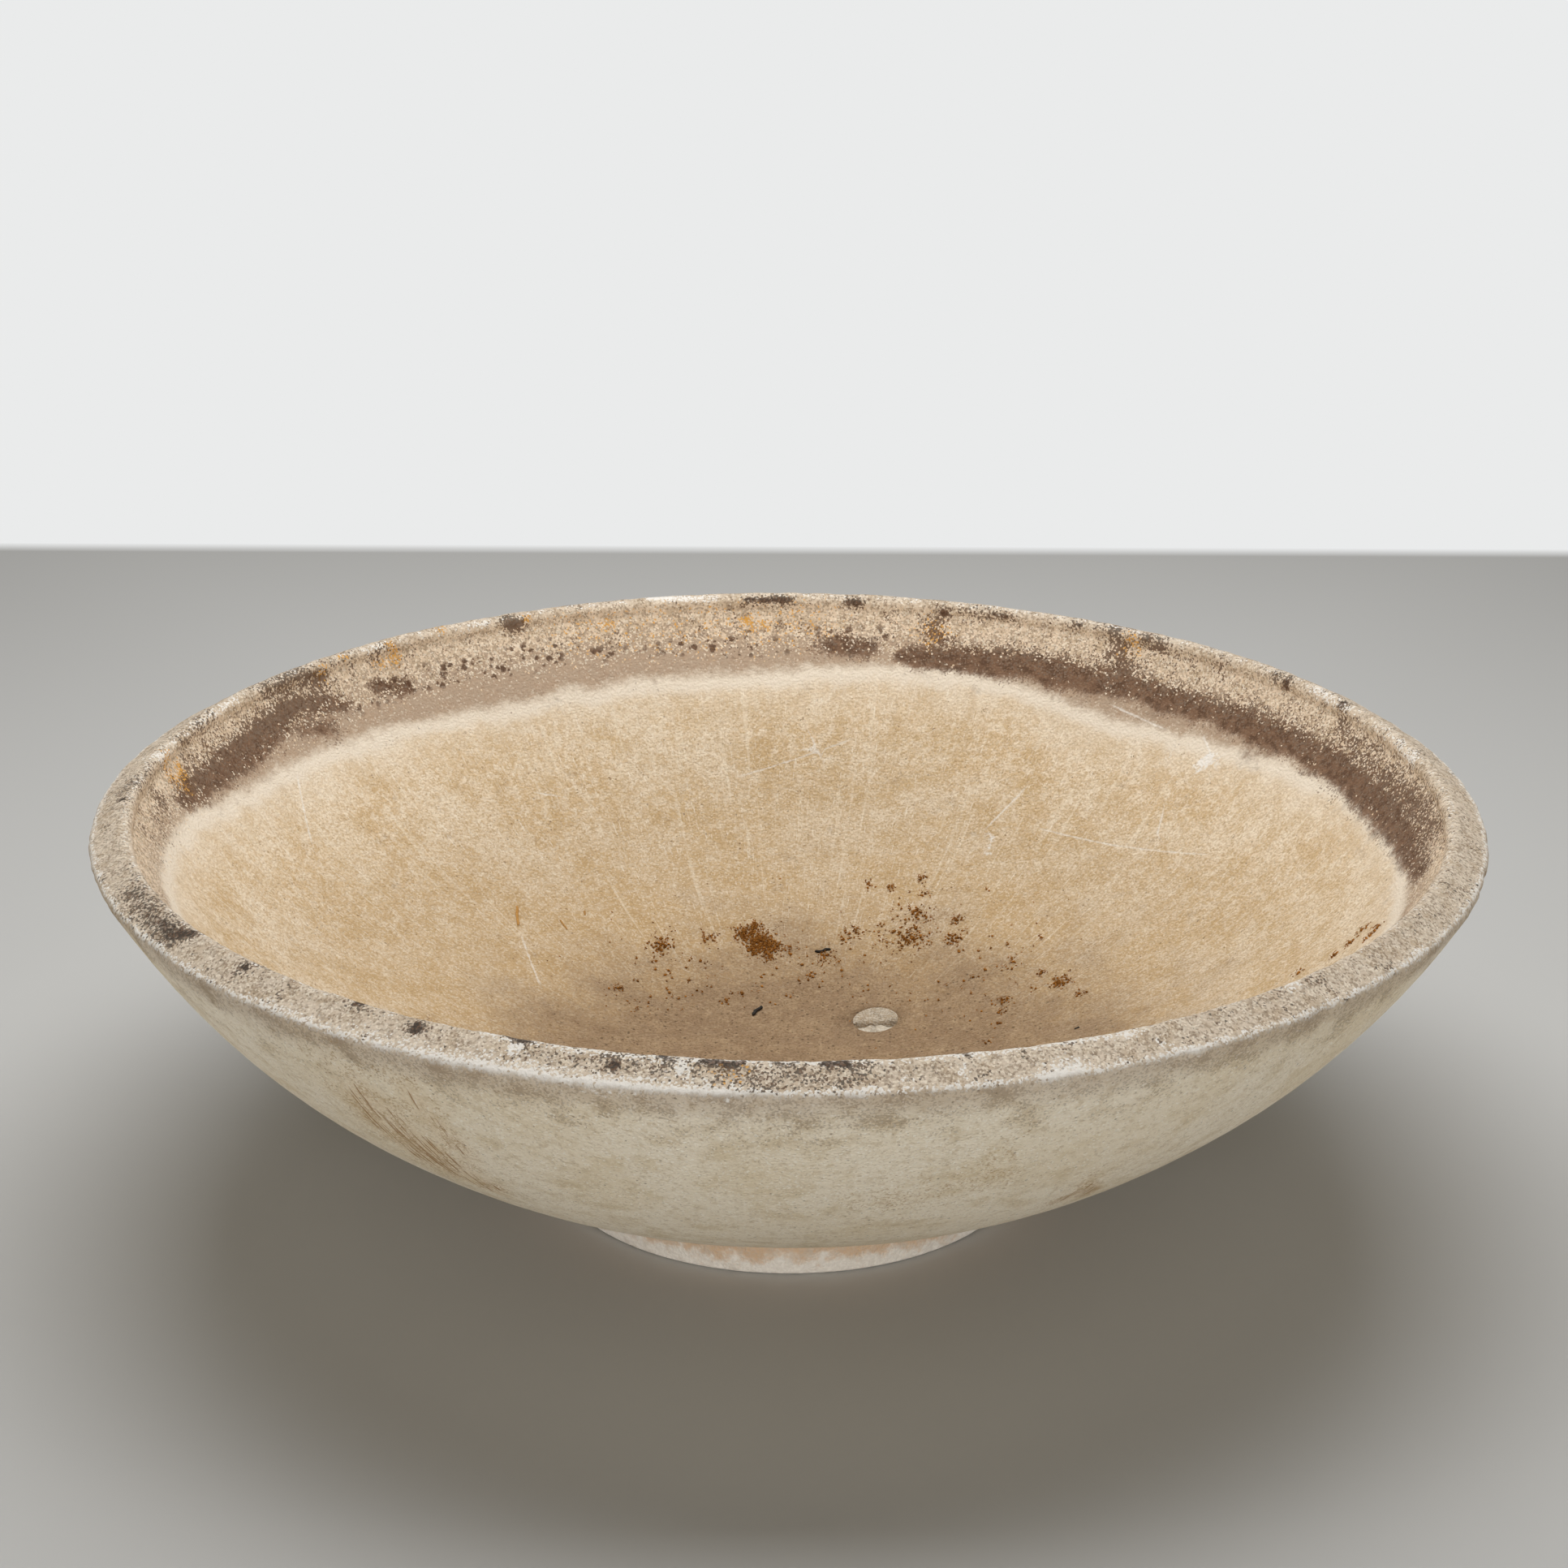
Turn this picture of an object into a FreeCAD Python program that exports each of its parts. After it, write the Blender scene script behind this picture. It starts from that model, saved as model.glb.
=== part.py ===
"""Cast stone bowl planter: a shallow round bowl bedded in mortar on a low foot ring.

Millimetres, +Z up. The origin is the centre of the foot ring's resting face, on the axis of the bowl.
Every piece is turned about that axis, apart from the drain hole and the mortar plug that fills it.
"""
import FreeCAD, Part
import math
import os

import Sketcher

# Driving dimensions, in millimetres, with the drain's bearing in degrees from +X towards +Y.
SIZES = {
    # bowl: rim, wall and floor
    "rim_diameter": 1150,
    "overall_height": 350,
    "rim_width": 35,
    "rim_fall": 17,
    "crest_round": 8,
    "arris_round": 6,
    "lip_band": 6,
    "underside_height": 24,
    "underside_flat_diameter": 106,
    "floor_thickness": 55,
    # foot ring and the mortar bed on it
    "foot_diameter": 398,
    "foot_width": 33,
    "foot_flare": 5,
    "foot_edge_round": 4,
    "bed_thickness": 4,
    "joint_rake": 2,
    # drain hole and its broken plug
    "drain_diameter": 40,
    "drain_offset": 143,
    "drain_bearing": 57,
    "crack_offset": 4,
    "crack_width": 0.8,
    "plug_rise": 1.5,
    "plug_sink": 4,
    "plug_recess": 8,
}

# Places on the half section, as formulas in the sheet's sizes. X runs out from the axis.
FLAT_X = "(Sizes.underside_flat_diameter / 2)"
UNDERSIDE_Z = "Sizes.underside_height"
FLOOR_Z = "(Sizes.underside_height + Sizes.floor_thickness)"
ARRIS_X = "(Sizes.rim_diameter / 2 - Sizes.arris_round)"
ARRIS_Z = "(Sizes.overall_height - Sizes.rim_fall)"
LIP_X = "(Sizes.rim_diameter / 2 - Sizes.rim_width)"
CREST_X = f"({LIP_X} + Sizes.crest_round)"
CREST_Z = "(Sizes.overall_height - Sizes.crest_round)"
LIP_Z = f"({CREST_Z} - Sizes.lip_band)"

# The wall's arc starts level at the underside's flat and touches the arris from inside.
WALL_RUN = f"({ARRIS_X} - {FLAT_X})"
WALL_CLIMB = f"({ARRIS_Z} - {UNDERSIDE_Z})"
WALL_RADIUS = (
    f"(({WALL_RUN}^2 + {WALL_CLIMB}^2 - Sizes.arris_round^2)"
    f" / (2 * ({WALL_CLIMB} - Sizes.arris_round)))"
)
WALL_Z = f"({UNDERSIDE_Z} + {WALL_RADIUS})"

# The inner arc starts level at the floor's flat middle and ends under the lip.
INNER_RUN = f"({LIP_X} - {FLAT_X})"
INNER_CLIMB = f"({LIP_Z} - {FLOOR_Z})"
INNER_RADIUS = f"(({INNER_RUN}^2 + {INNER_CLIMB}^2) / (2 * {INNER_CLIMB}))"
INNER_Z = f"({FLOOR_Z} + {INNER_RADIUS})"

# The foot ring's top and the mortar bed's lower face share one arc, a bed's thickness below the wall.
SEAT_RADIUS = f"({WALL_RADIUS} + Sizes.bed_thickness)"
FOOT_X = "(Sizes.foot_diameter / 2)"
FOOT_BORE_X = f"({FOOT_X} - Sizes.foot_width)"
FOOT_TOP_X = f"({FOOT_X} + Sizes.foot_flare)"
BED_X = f"({FOOT_TOP_X} - Sizes.joint_rake)"

# The drain's axis, in plan, and a reach that takes in the whole hole.
DRAIN_RADIUS = "(Sizes.drain_diameter / 2)"
DRAIN_X = "(Sizes.drain_offset * cos(Sizes.drain_bearing * 1 deg))"
DRAIN_Y = "(Sizes.drain_offset * sin(Sizes.drain_bearing * 1 deg))"
DRAIN_REACH = "(Sizes.drain_offset + Sizes.drain_diameter)"

# Ends of an edge and the centre of an arc, as a sketch numbers them, and a sketch's own origin and axes.
START, END, CENTRE = 1, 2, 3
ORIGIN = (-1, START)
GROUND, UPRIGHT = -1, -2
LEVEL = -math.pi / 2


class Drawing:
    """A sketch on one of a body's origin planes, with its dimensions bound to formulas in the sheet's sizes."""

    def __init__(self, body, name, plane):
        self.sketch = body.newObject("Sketcher::SketchObject", name)
        support = [feature for feature in body.Origin.OriginFeatures if feature.Role == plane][0]
        self.sketch.AttachmentSupport = [(support, "")]
        self.sketch.MapMode = "FlatFace"

    def value(self, formula):
        """The number that a formula gives."""
        return float(self.sketch.evalExpression(formula))

    def point(self, x, y):
        """The point at two formulas."""
        return FreeCAD.Vector(self.value(x), self.value(y), 0)

    def line(self, start, end):
        """Adds a straight edge and returns its number."""
        return self.sketch.addGeometry(Part.LineSegment(start, end), False)

    def circle(self, centre, radius):
        """Adds a whole circle and returns its number."""
        return self.sketch.addGeometry(Part.Circle(centre, FreeCAD.Vector(0, 0, 1), self.value(radius)), False)

    def arc(self, centre, radius, start, end):
        """Adds an arc that runs anticlockwise between two angles, and returns its number and its ends."""
        circle = Part.Circle(centre, FreeCAD.Vector(0, 0, 1), self.value(radius))
        curve = Part.ArcOfCircle(circle, start, end)
        return self.sketch.addGeometry(curve, False), curve.StartPoint, curve.EndPoint

    def lower_angle(self, centre_x, radius, x):
        """The angle of the point of a circle's lower half at a given x."""
        return -math.acos((self.value(x) - self.value(centre_x)) / self.value(radius))

    def relate(self, kind, *where):
        """Adds a geometric constraint."""
        return self.sketch.addConstraint(Sketcher.Constraint(kind, *where))

    def ring(self, *edges):
        """Joins edges end to end. Each gives its number, the ends it is entered and left by, and its joint."""
        for (edge, _, leave, kind), (after, enter, _, _) in zip(edges, edges[1:] + edges[:1]):
            self.relate(kind, edge, leave, after, enter)

    def measure(self, name, kind, where, formula):
        """Adds a dimension with a name and binds it to its formula."""
        number = self.sketch.addConstraint(Sketcher.Constraint(kind, *where, self.value(formula)))
        self.sketch.renameConstraint(number, name)
        self.sketch.setExpression(f"Constraints.{name}", formula)

    def place(self, name, edge, end, x, y):
        """Sets one point of an edge at two formulas from the origin."""
        self.measure(f"{name}_x", "DistanceX", (*ORIGIN, edge, end), x)
        self.measure(f"{name}_y", "DistanceY", (*ORIGIN, edge, end), y)


def make_sheet(doc):
    """The sheet that holds the driving dimensions, one alias a row."""
    sheet = doc.addObject("Spreadsheet::Sheet", "Sizes")
    for row, (alias, size) in enumerate(SIZES.items(), start=1):
        sheet.set(f"A{row}", alias)
        sheet.set(f"B{row}", str(size))
        sheet.setAlias(f"B{row}", alias)
    doc.recompute()
    return sheet


def make_body(doc, label):
    """An empty body whose label names its piece."""
    body = doc.addObject("PartDesign::Body", label.title().replace("_", ""))
    body.Label = label
    return body


def turn(body, drawing, name):
    """Turns a half section right round the upright axis."""
    feature = body.newObject("PartDesign::Revolution", name)
    feature.Profile = drawing.sketch
    feature.ReferenceAxis = (drawing.sketch, ["V_Axis"])
    feature.Angle = 360
    body.Document.recompute()
    return feature


def cut_upwards(body, drawing, name):
    """Cuts a plan of the ground plane through everything above it."""
    before = body.Shape.Volume
    feature = body.newObject("PartDesign::Pocket", name)
    feature.Profile = drawing.sketch
    feature.Type = "ThroughAll"
    feature.Reversed = True
    body.Document.recompute()
    if not body.Shape.Volume < before:
        raise RuntimeError(f"{name} cuts nothing")


def draw_bowl(drawing):
    """Half section of the bowl: a flat underside, the wall's arc, the worn arris, the sloping rim top, the
    rounded crest, a short upright lip, the inner arc and the flat middle of the floor."""
    wall = drawing.point(FLAT_X, WALL_Z)
    inner = drawing.point(FLAT_X, INNER_Z)
    arris = drawing.point(ARRIS_X, ARRIS_Z)
    crest = drawing.point(CREST_X, CREST_Z)
    lip_foot = drawing.point(LIP_X, LIP_Z)
    # The rim top touches the crest and the arris from above, which gives its slope.
    across = arris - crest
    wall_end = math.atan2(arris.y - wall.y, arris.x - wall.x)
    slack = drawing.value("Sizes.crest_round - Sizes.arris_round")
    rim_square = math.atan2(across.y, across.x) + math.acos(slack / across.Length)
    inner_end = math.atan2(lip_foot.y - inner.y, lip_foot.x - inner.x)

    outer_arc, outer_low, _ = drawing.arc(wall, WALL_RADIUS, LEVEL, wall_end)
    arris_arc, _, rim_low = drawing.arc(arris, "Sizes.arris_round", wall_end, rim_square)
    crest_arc, rim_high, lip_top = drawing.arc(crest, "Sizes.crest_round", rim_square, math.pi)
    inner_arc, inner_low, _ = drawing.arc(inner, INNER_RADIUS, LEVEL, inner_end)
    axis_low = FreeCAD.Vector(0, outer_low.y, 0)
    axis_high = FreeCAD.Vector(0, inner_low.y, 0)
    underside = drawing.line(axis_low, outer_low)
    rim_top = drawing.line(rim_low, rim_high)
    lip = drawing.line(lip_top, lip_foot)
    floor = drawing.line(inner_low, axis_high)
    axis = drawing.line(axis_high, axis_low)
    drawing.ring(
        (underside, START, END, "Tangent"),
        (outer_arc, START, END, "Tangent"),
        (arris_arc, START, END, "Tangent"),
        (rim_top, START, END, "Tangent"),
        (crest_arc, START, END, "Tangent"),
        (lip, START, END, "Coincident"),
        (inner_arc, END, START, "Tangent"),
        (floor, START, END, "Coincident"),
        (axis, START, END, "Coincident"),
    )
    drawing.relate("Horizontal", underside)
    drawing.relate("Horizontal", floor)
    drawing.relate("Vertical", lip)
    drawing.relate("PointOnObject", axis, START, UPRIGHT)
    drawing.relate("PointOnObject", axis, END, UPRIGHT)
    drawing.relate("Vertical", outer_arc, CENTRE, inner_arc, CENTRE)
    drawing.place("underside", underside, END, FLAT_X, UNDERSIDE_Z)
    drawing.place("arris", arris_arc, CENTRE, ARRIS_X, ARRIS_Z)
    drawing.place("crest", crest_arc, CENTRE, CREST_X, CREST_Z)
    drawing.measure("arris_round", "Radius", (arris_arc,), "Sizes.arris_round")
    drawing.measure("crest_round", "Radius", (crest_arc,), "Sizes.crest_round")
    drawing.measure("lip_band", "DistanceY", (lip, END, lip, START), "Sizes.lip_band")
    drawing.measure("floor_thickness", "DistanceY", (axis, END, axis, START), "Sizes.floor_thickness")


def make_bowl(doc):
    """The bowl, turned in one piece, with the drain hole cut through its floor."""
    body = make_body(doc, "bowl_shell")
    section = Drawing(body, "BowlSection", "XZ_Plane")
    draw_bowl(section)
    turn(body, section, "BowlTurning")
    plan = Drawing(body, "DrainPlan", "XY_Plane")
    hole = plan.circle(plan.point(DRAIN_X, DRAIN_Y), DRAIN_RADIUS)
    plan.measure("hole_radius", "Radius", (hole,), DRAIN_RADIUS)
    plan.place("drain", hole, CENTRE, DRAIN_X, DRAIN_Y)
    cut_upwards(body, plan, "DrainHole")
    return body


def make_foot(doc):
    """The foot ring: a flat resting face with rounded edges, a plain bore, a side that flares towards the bowl,
    and a top that follows the bowl's underside."""
    body = make_body(doc, "foot_ring")
    drawing = Drawing(body, "FootSection", "XZ_Plane")
    seat_ends = [drawing.lower_angle(FLAT_X, SEAT_RADIUS, x) for x in (FOOT_BORE_X, FOOT_TOP_X)]
    seat, bore_top, side_top = drawing.arc(drawing.point(FLAT_X, WALL_Z), SEAT_RADIUS, *seat_ends)
    bore_foot = drawing.point(FOOT_BORE_X, "0")
    side_foot = drawing.point(FOOT_X, "0")
    base = drawing.line(bore_foot, side_foot)
    side = drawing.line(side_foot, side_top)
    bore = drawing.line(bore_top, bore_foot)
    drawing.ring(
        (base, START, END, "Coincident"),
        (side, START, END, "Coincident"),
        (seat, END, START, "Coincident"),
        (bore, START, END, "Coincident"),
    )
    drawing.relate("PointOnObject", base, START, GROUND)
    drawing.relate("Horizontal", base)
    drawing.relate("Vertical", bore)
    drawing.measure("foot_radius", "DistanceX", (*ORIGIN, base, END), FOOT_X)
    drawing.measure("foot_width", "DistanceX", (base, START, base, END), "Sizes.foot_width")
    drawing.measure("foot_flare", "DistanceX", (side, START, side, END), "Sizes.foot_flare")
    drawing.measure("seat_radius", "Radius", (seat,), SEAT_RADIUS)
    drawing.place("seat", seat, CENTRE, FLAT_X, WALL_Z)
    turning = turn(body, drawing, "FootTurning")

    rounding = body.newObject("PartDesign::Fillet", "FootEdges")
    ground_edges = [
        f"Edge{number}"
        for number, edge in enumerate(turning.Shape.Edges, start=1)
        if edge.Closed and edge.BoundBox.ZMax < drawing.value("Sizes.foot_edge_round")
    ]
    rounding.Base = (turning, ground_edges)
    rounding.setExpression("Radius", "Sizes.foot_edge_round")
    doc.recompute()
    return body


def make_bed(doc):
    """The mortar bed: fills the gap between the foot ring's top and the bowl, raked back at the outer face."""
    body = make_body(doc, "mortar_bed")
    drawing = Drawing(body, "BedSection", "XZ_Plane")
    centre = drawing.point(FLAT_X, WALL_Z)
    faces = []
    for radius in (WALL_RADIUS, SEAT_RADIUS):
        ends = [drawing.lower_angle(FLAT_X, radius, x) for x in (FOOT_BORE_X, BED_X)]
        faces.append(drawing.arc(centre, radius, *ends))
    (upper, upper_inner, upper_outer), (lower, lower_inner, lower_outer) = faces
    bore_face = drawing.line(upper_inner, lower_inner)
    outer_face = drawing.line(lower_outer, upper_outer)
    drawing.ring(
        (bore_face, START, END, "Coincident"),
        (lower, START, END, "Coincident"),
        (outer_face, START, END, "Coincident"),
        (upper, END, START, "Coincident"),
    )
    drawing.relate("Coincident", upper, CENTRE, lower, CENTRE)
    drawing.relate("Vertical", bore_face)
    drawing.relate("Vertical", outer_face)
    drawing.measure("wall_radius", "Radius", (upper,), WALL_RADIUS)
    drawing.measure("seat_radius", "Radius", (lower,), SEAT_RADIUS)
    drawing.place("seat", lower, CENTRE, FLAT_X, WALL_Z)
    drawing.measure("bore", "DistanceX", (*ORIGIN, bore_face, END), FOOT_BORE_X)
    drawing.measure("outer", "DistanceX", (*ORIGIN, outer_face, START), BED_X)
    turn(body, drawing, "BedTurning")
    return body


def draw_floor_slab(drawing, lift):
    """Half section of the floor round the drain, from a recess above the underside to a lift above the floor."""
    low_z = f"({UNDERSIDE_Z} + Sizes.plug_recess)"
    high_z = f"({FLOOR_Z} + {lift})"
    low_radius = f"({WALL_RADIUS} - Sizes.plug_recess)"
    high_radius = f"({INNER_RADIUS} - {lift})"
    low_arc, low_start, low_end = drawing.arc(
        drawing.point(FLAT_X, WALL_Z), low_radius, LEVEL, drawing.lower_angle(FLAT_X, low_radius, DRAIN_REACH)
    )
    high_arc, high_start, high_end = drawing.arc(
        drawing.point(FLAT_X, INNER_Z), high_radius, LEVEL, drawing.lower_angle(FLAT_X, high_radius, DRAIN_REACH)
    )
    axis_low = FreeCAD.Vector(0, low_start.y, 0)
    axis_high = FreeCAD.Vector(0, high_start.y, 0)
    low_flat = drawing.line(axis_low, low_start)
    edge = drawing.line(low_end, high_end)
    high_flat = drawing.line(high_start, axis_high)
    axis = drawing.line(axis_high, axis_low)
    drawing.ring(
        (low_flat, START, END, "Tangent"),
        (low_arc, START, END, "Coincident"),
        (edge, START, END, "Coincident"),
        (high_arc, END, START, "Tangent"),
        (high_flat, START, END, "Coincident"),
        (axis, START, END, "Coincident"),
    )
    drawing.relate("Horizontal", low_flat)
    drawing.relate("Horizontal", high_flat)
    drawing.relate("Vertical", edge)
    drawing.relate("PointOnObject", axis, START, UPRIGHT)
    drawing.relate("PointOnObject", axis, END, UPRIGHT)
    drawing.place("low", low_flat, END, FLAT_X, low_z)
    drawing.place("high", high_flat, START, FLAT_X, high_z)
    drawing.measure("reach", "DistanceX", (*ORIGIN, edge, START), DRAIN_REACH)
    drawing.measure("low_radius", "Radius", (low_arc,), low_radius)
    drawing.measure("high_radius", "Radius", (high_arc,), high_radius)


def draw_around_piece(drawing, drop, dips):
    """Plan of all that lies round one piece of the plug: a disc with the piece's outline left out of it. The
    outline is the drain hole's circle on one side of the crack, which runs along X in front of the hole's centre."""
    disc = drawing.circle(drawing.point("0", "0"), f"2 * {DRAIN_REACH}")
    dip = math.asin(drawing.value(drop) / drawing.value(DRAIN_RADIUS))
    start, end = (base + sign * dip for base, sign in dips)
    round_side, right_end, left_end = drawing.arc(drawing.point(DRAIN_X, DRAIN_Y), DRAIN_RADIUS, start, end)
    crack_side = drawing.line(left_end, right_end)
    drawing.ring(
        (round_side, START, END, "Coincident"),
        (crack_side, START, END, "Coincident"),
    )
    drawing.relate("Coincident", disc, CENTRE, *ORIGIN)
    drawing.relate("Horizontal", crack_side)
    drawing.measure("disc_radius", "Radius", (disc,), f"2 * {DRAIN_REACH}")
    drawing.measure("plug_radius", "Radius", (round_side,), DRAIN_RADIUS)
    drawing.place("drain", round_side, CENTRE, DRAIN_X, DRAIN_Y)
    drawing.measure("crack_drop", "DistanceY", (crack_side, START, round_side, CENTRE), drop)


def make_plug_piece(doc, label, lift, drop, dips):
    """One piece of the broken mortar plug: the floor inside the drain hole, on its side of the crack."""
    body = make_body(doc, label)
    section = Drawing(body, f"{body.Name}Section", "XZ_Plane")
    draw_floor_slab(section, lift)
    turn(body, section, f"{body.Name}Turning")
    plan = Drawing(body, f"{body.Name}Plan", "XY_Plane")
    draw_around_piece(plan, drop, dips)
    cut_upwards(body, plan, f"{body.Name}Outline")
    return body


def make_plug(doc):
    """The plug's two pieces. The rear one stands a little above the floor and the front one has sunk below it."""
    rear = make_plug_piece(
        doc, "drain_plug_rear", "Sizes.plug_rise", "Sizes.crack_offset - Sizes.crack_width / 2",
        ((0, -1), (math.pi, 1)),
    )
    front = make_plug_piece(
        doc, "drain_plug_front", "-Sizes.plug_sink", "Sizes.crack_offset + Sizes.crack_width / 2",
        ((math.pi, 1), (2 * math.pi, -1)),
    )
    return rear, front


def check(doc, bodies):
    """Stops the build if any object failed or any piece isn't one sound solid."""
    for item in doc.Objects:
        if {"Invalid", "Error"} & set(item.State):
            raise RuntimeError(f"{item.Name} failed: {item.getStatusString()}")
        if item.isDerivedFrom("Sketcher::SketchObject") and not item.FullyConstrained:
            raise RuntimeError(f"{item.Name} is not fully constrained")
    for body in bodies:
        shape = body.Shape
        if shape.isNull() or not shape.isValid() or len(shape.Solids) != 1:
            raise RuntimeError(f"{body.Label} is not one sound solid")
        print(f"{body.Label}: {shape.Volume:.0f} mm3, {shape.BoundBox.ZMin:.2f} to {shape.BoundBox.ZMax:.2f} mm")


def main():
    """Builds the planter and writes each piece to its own file."""
    doc = FreeCAD.newDocument("BowlPlanter")
    make_sheet(doc)
    bodies = [make_bowl(doc), make_foot(doc), make_bed(doc), *make_plug(doc)]
    doc.recompute()
    check(doc, bodies)
    os.makedirs("parts", exist_ok=True)
    for body in bodies:
        body.Shape.exportStep(os.path.join("parts", f"{body.Label}.step"))


main()
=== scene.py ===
"""Looks of a weathered stone bowl planter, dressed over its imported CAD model.

Lengths are metres in the CAD frame: Z is the bowl's axis, the floor is at zero, and the photograph looks
along +Y. Bearings run anticlockwise from +X, seen from above. Pixels are places in the photograph's frame of
1932 by 1932.
"""

import itertools
import math

import bpy
import numpy as np
from bpy.props import FloatProperty, FloatVectorProperty, IntProperty, PointerProperty
from bpy.types import Operator, Panel, PropertyGroup
from mathutils import Matrix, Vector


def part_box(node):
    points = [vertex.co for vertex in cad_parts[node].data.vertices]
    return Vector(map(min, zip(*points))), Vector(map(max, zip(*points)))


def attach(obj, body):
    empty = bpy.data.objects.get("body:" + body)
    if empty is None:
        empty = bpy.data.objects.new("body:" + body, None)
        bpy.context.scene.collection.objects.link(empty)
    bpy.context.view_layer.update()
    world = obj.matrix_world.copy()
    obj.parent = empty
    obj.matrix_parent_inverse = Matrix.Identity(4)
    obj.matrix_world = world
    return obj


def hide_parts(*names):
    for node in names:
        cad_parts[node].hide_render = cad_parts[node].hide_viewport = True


bl_info = {
    "name": "Stone bowl planter",
    "version": (1, 0, 0),
    "blender": (4, 5, 0),
    "location": "3D View > Sidebar > Planter",
    "description": "Builds a weathered stone bowl planter over its CAD model",
    "category": "Add Mesh",
}

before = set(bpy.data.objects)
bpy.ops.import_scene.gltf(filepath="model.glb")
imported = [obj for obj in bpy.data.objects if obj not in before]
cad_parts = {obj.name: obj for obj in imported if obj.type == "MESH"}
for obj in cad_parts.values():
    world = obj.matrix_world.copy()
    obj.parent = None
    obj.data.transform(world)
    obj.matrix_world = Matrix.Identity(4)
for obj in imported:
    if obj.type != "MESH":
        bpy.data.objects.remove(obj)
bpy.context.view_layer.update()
BOWL_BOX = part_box("bowl_shell")
FOOT_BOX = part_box("foot_ring")
BED_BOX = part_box("mortar_bed")
REAR_PLUG_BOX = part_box("drain_plug_rear")
FRONT_PLUG_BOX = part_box("drain_plug_front")

MM = 0.001
PHOTO_SIDE = 1932
SENSOR_WIDTH = 36.0
TURN = 2 * math.pi

# Rows of the bowl's grid in each stretch of its section
UNDER_ROWS, WALL_ROWS, ARRIS_ROWS, TOP_ROWS, CREST_ROWS, LIP_ROWS = 5, 22, 6, 10, 8, 1
HOLLOW_ROWS, FLOOR_ROWS, HOLE_ROWS = 46, 9, 2
# Power that draws the rows of the hollow together under the lip
HOLLOW_CROWDING = 1.4

# The line that the soil left on the inside, read from left to right along its pale halo
SOIL_LINE_PIXELS = (
    (205, 1085), (215, 1040), (245, 1010), (300, 985), (380, 940), (440, 915), (500, 900), (620, 878),
    (700, 858), (780, 848), (860, 838), (950, 833), (1060, 828), (1190, 833), (1240, 845), (1330, 880),
    (1430, 908), (1540, 935), (1640, 970), (1690, 1010), (1720, 1050), (1730, 1080), (1725, 1110),
)
# Growth, dirt and wear are chains of marks. A mark is a pixel, read off the photograph, and a radius in mm
# and a strength, about 1 for the densest, both judged from it. Dark algae above the soil line
ALGAE_CHAINS = (
    (
        (225, 985, 13, 0.6), (243, 968, 16, 0.9), (269, 946, 17, 1.0), (304, 920, 18, 1.0),
        (330, 898, 18, 1.0), (361, 869, 17, 0.9), (400, 862, 14, 0.9), (424, 868, 10, 0.5),
    ),
    ((330, 850, 12, 0.7), (365, 832, 14, 0.8), (395, 838, 12, 0.8)),
    ((377, 898, 14, 0.5), (410, 895, 16, 0.45)),
    ((466, 846, 9, 0.7), (500, 845, 9, 0.7)), ((627, 765, 9, 1.0), (638, 769, 8, 1.0)),
    ((1005, 797, 9, 0.5), (1041, 795, 13, 0.8), (1070, 800, 11, 0.7)),
    (
        (1110, 808, 8, 0.6), (1134, 809, 12, 1.0), (1179, 812, 13, 1.0), (1220, 816, 14, 1.0),
        (1255, 817, 15, 1.0), (1287, 824, 15, 1.0), (1335, 834, 15, 0.9), (1399, 845, 13, 0.9),
        (1446, 863, 13, 0.9), (1489, 874, 13, 0.9), (1537, 892, 15, 1.0), (1575, 908, 16, 1.0),
        (1612, 922, 15, 0.9), (1652, 946, 17, 1.0), (1674, 966, 18, 1.0), (1703, 989, 20, 1.0),
        (1722, 1011, 20, 1.0), (1740, 1040, 18, 0.9), (1751, 1075, 16, 0.6),
    ),
    ((1655, 900, 10, 0.5), (1690, 950, 18, 0.65), (1735, 985, 20, 0.75), (1765, 1030, 18, 0.65)),
    ((1150, 772, 12, 0.65), (1160, 790, 10, 0.6)),
    ((1373, 778, 11, 0.85), (1380, 805, 12, 0.8), (1385, 830, 13, 0.8)),
    ((1415, 790, 10, 0.8), (1432, 798, 8, 0.7)), ((1655, 866, 6, 0.6), (1650, 900, 9, 0.5)),
)
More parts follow.
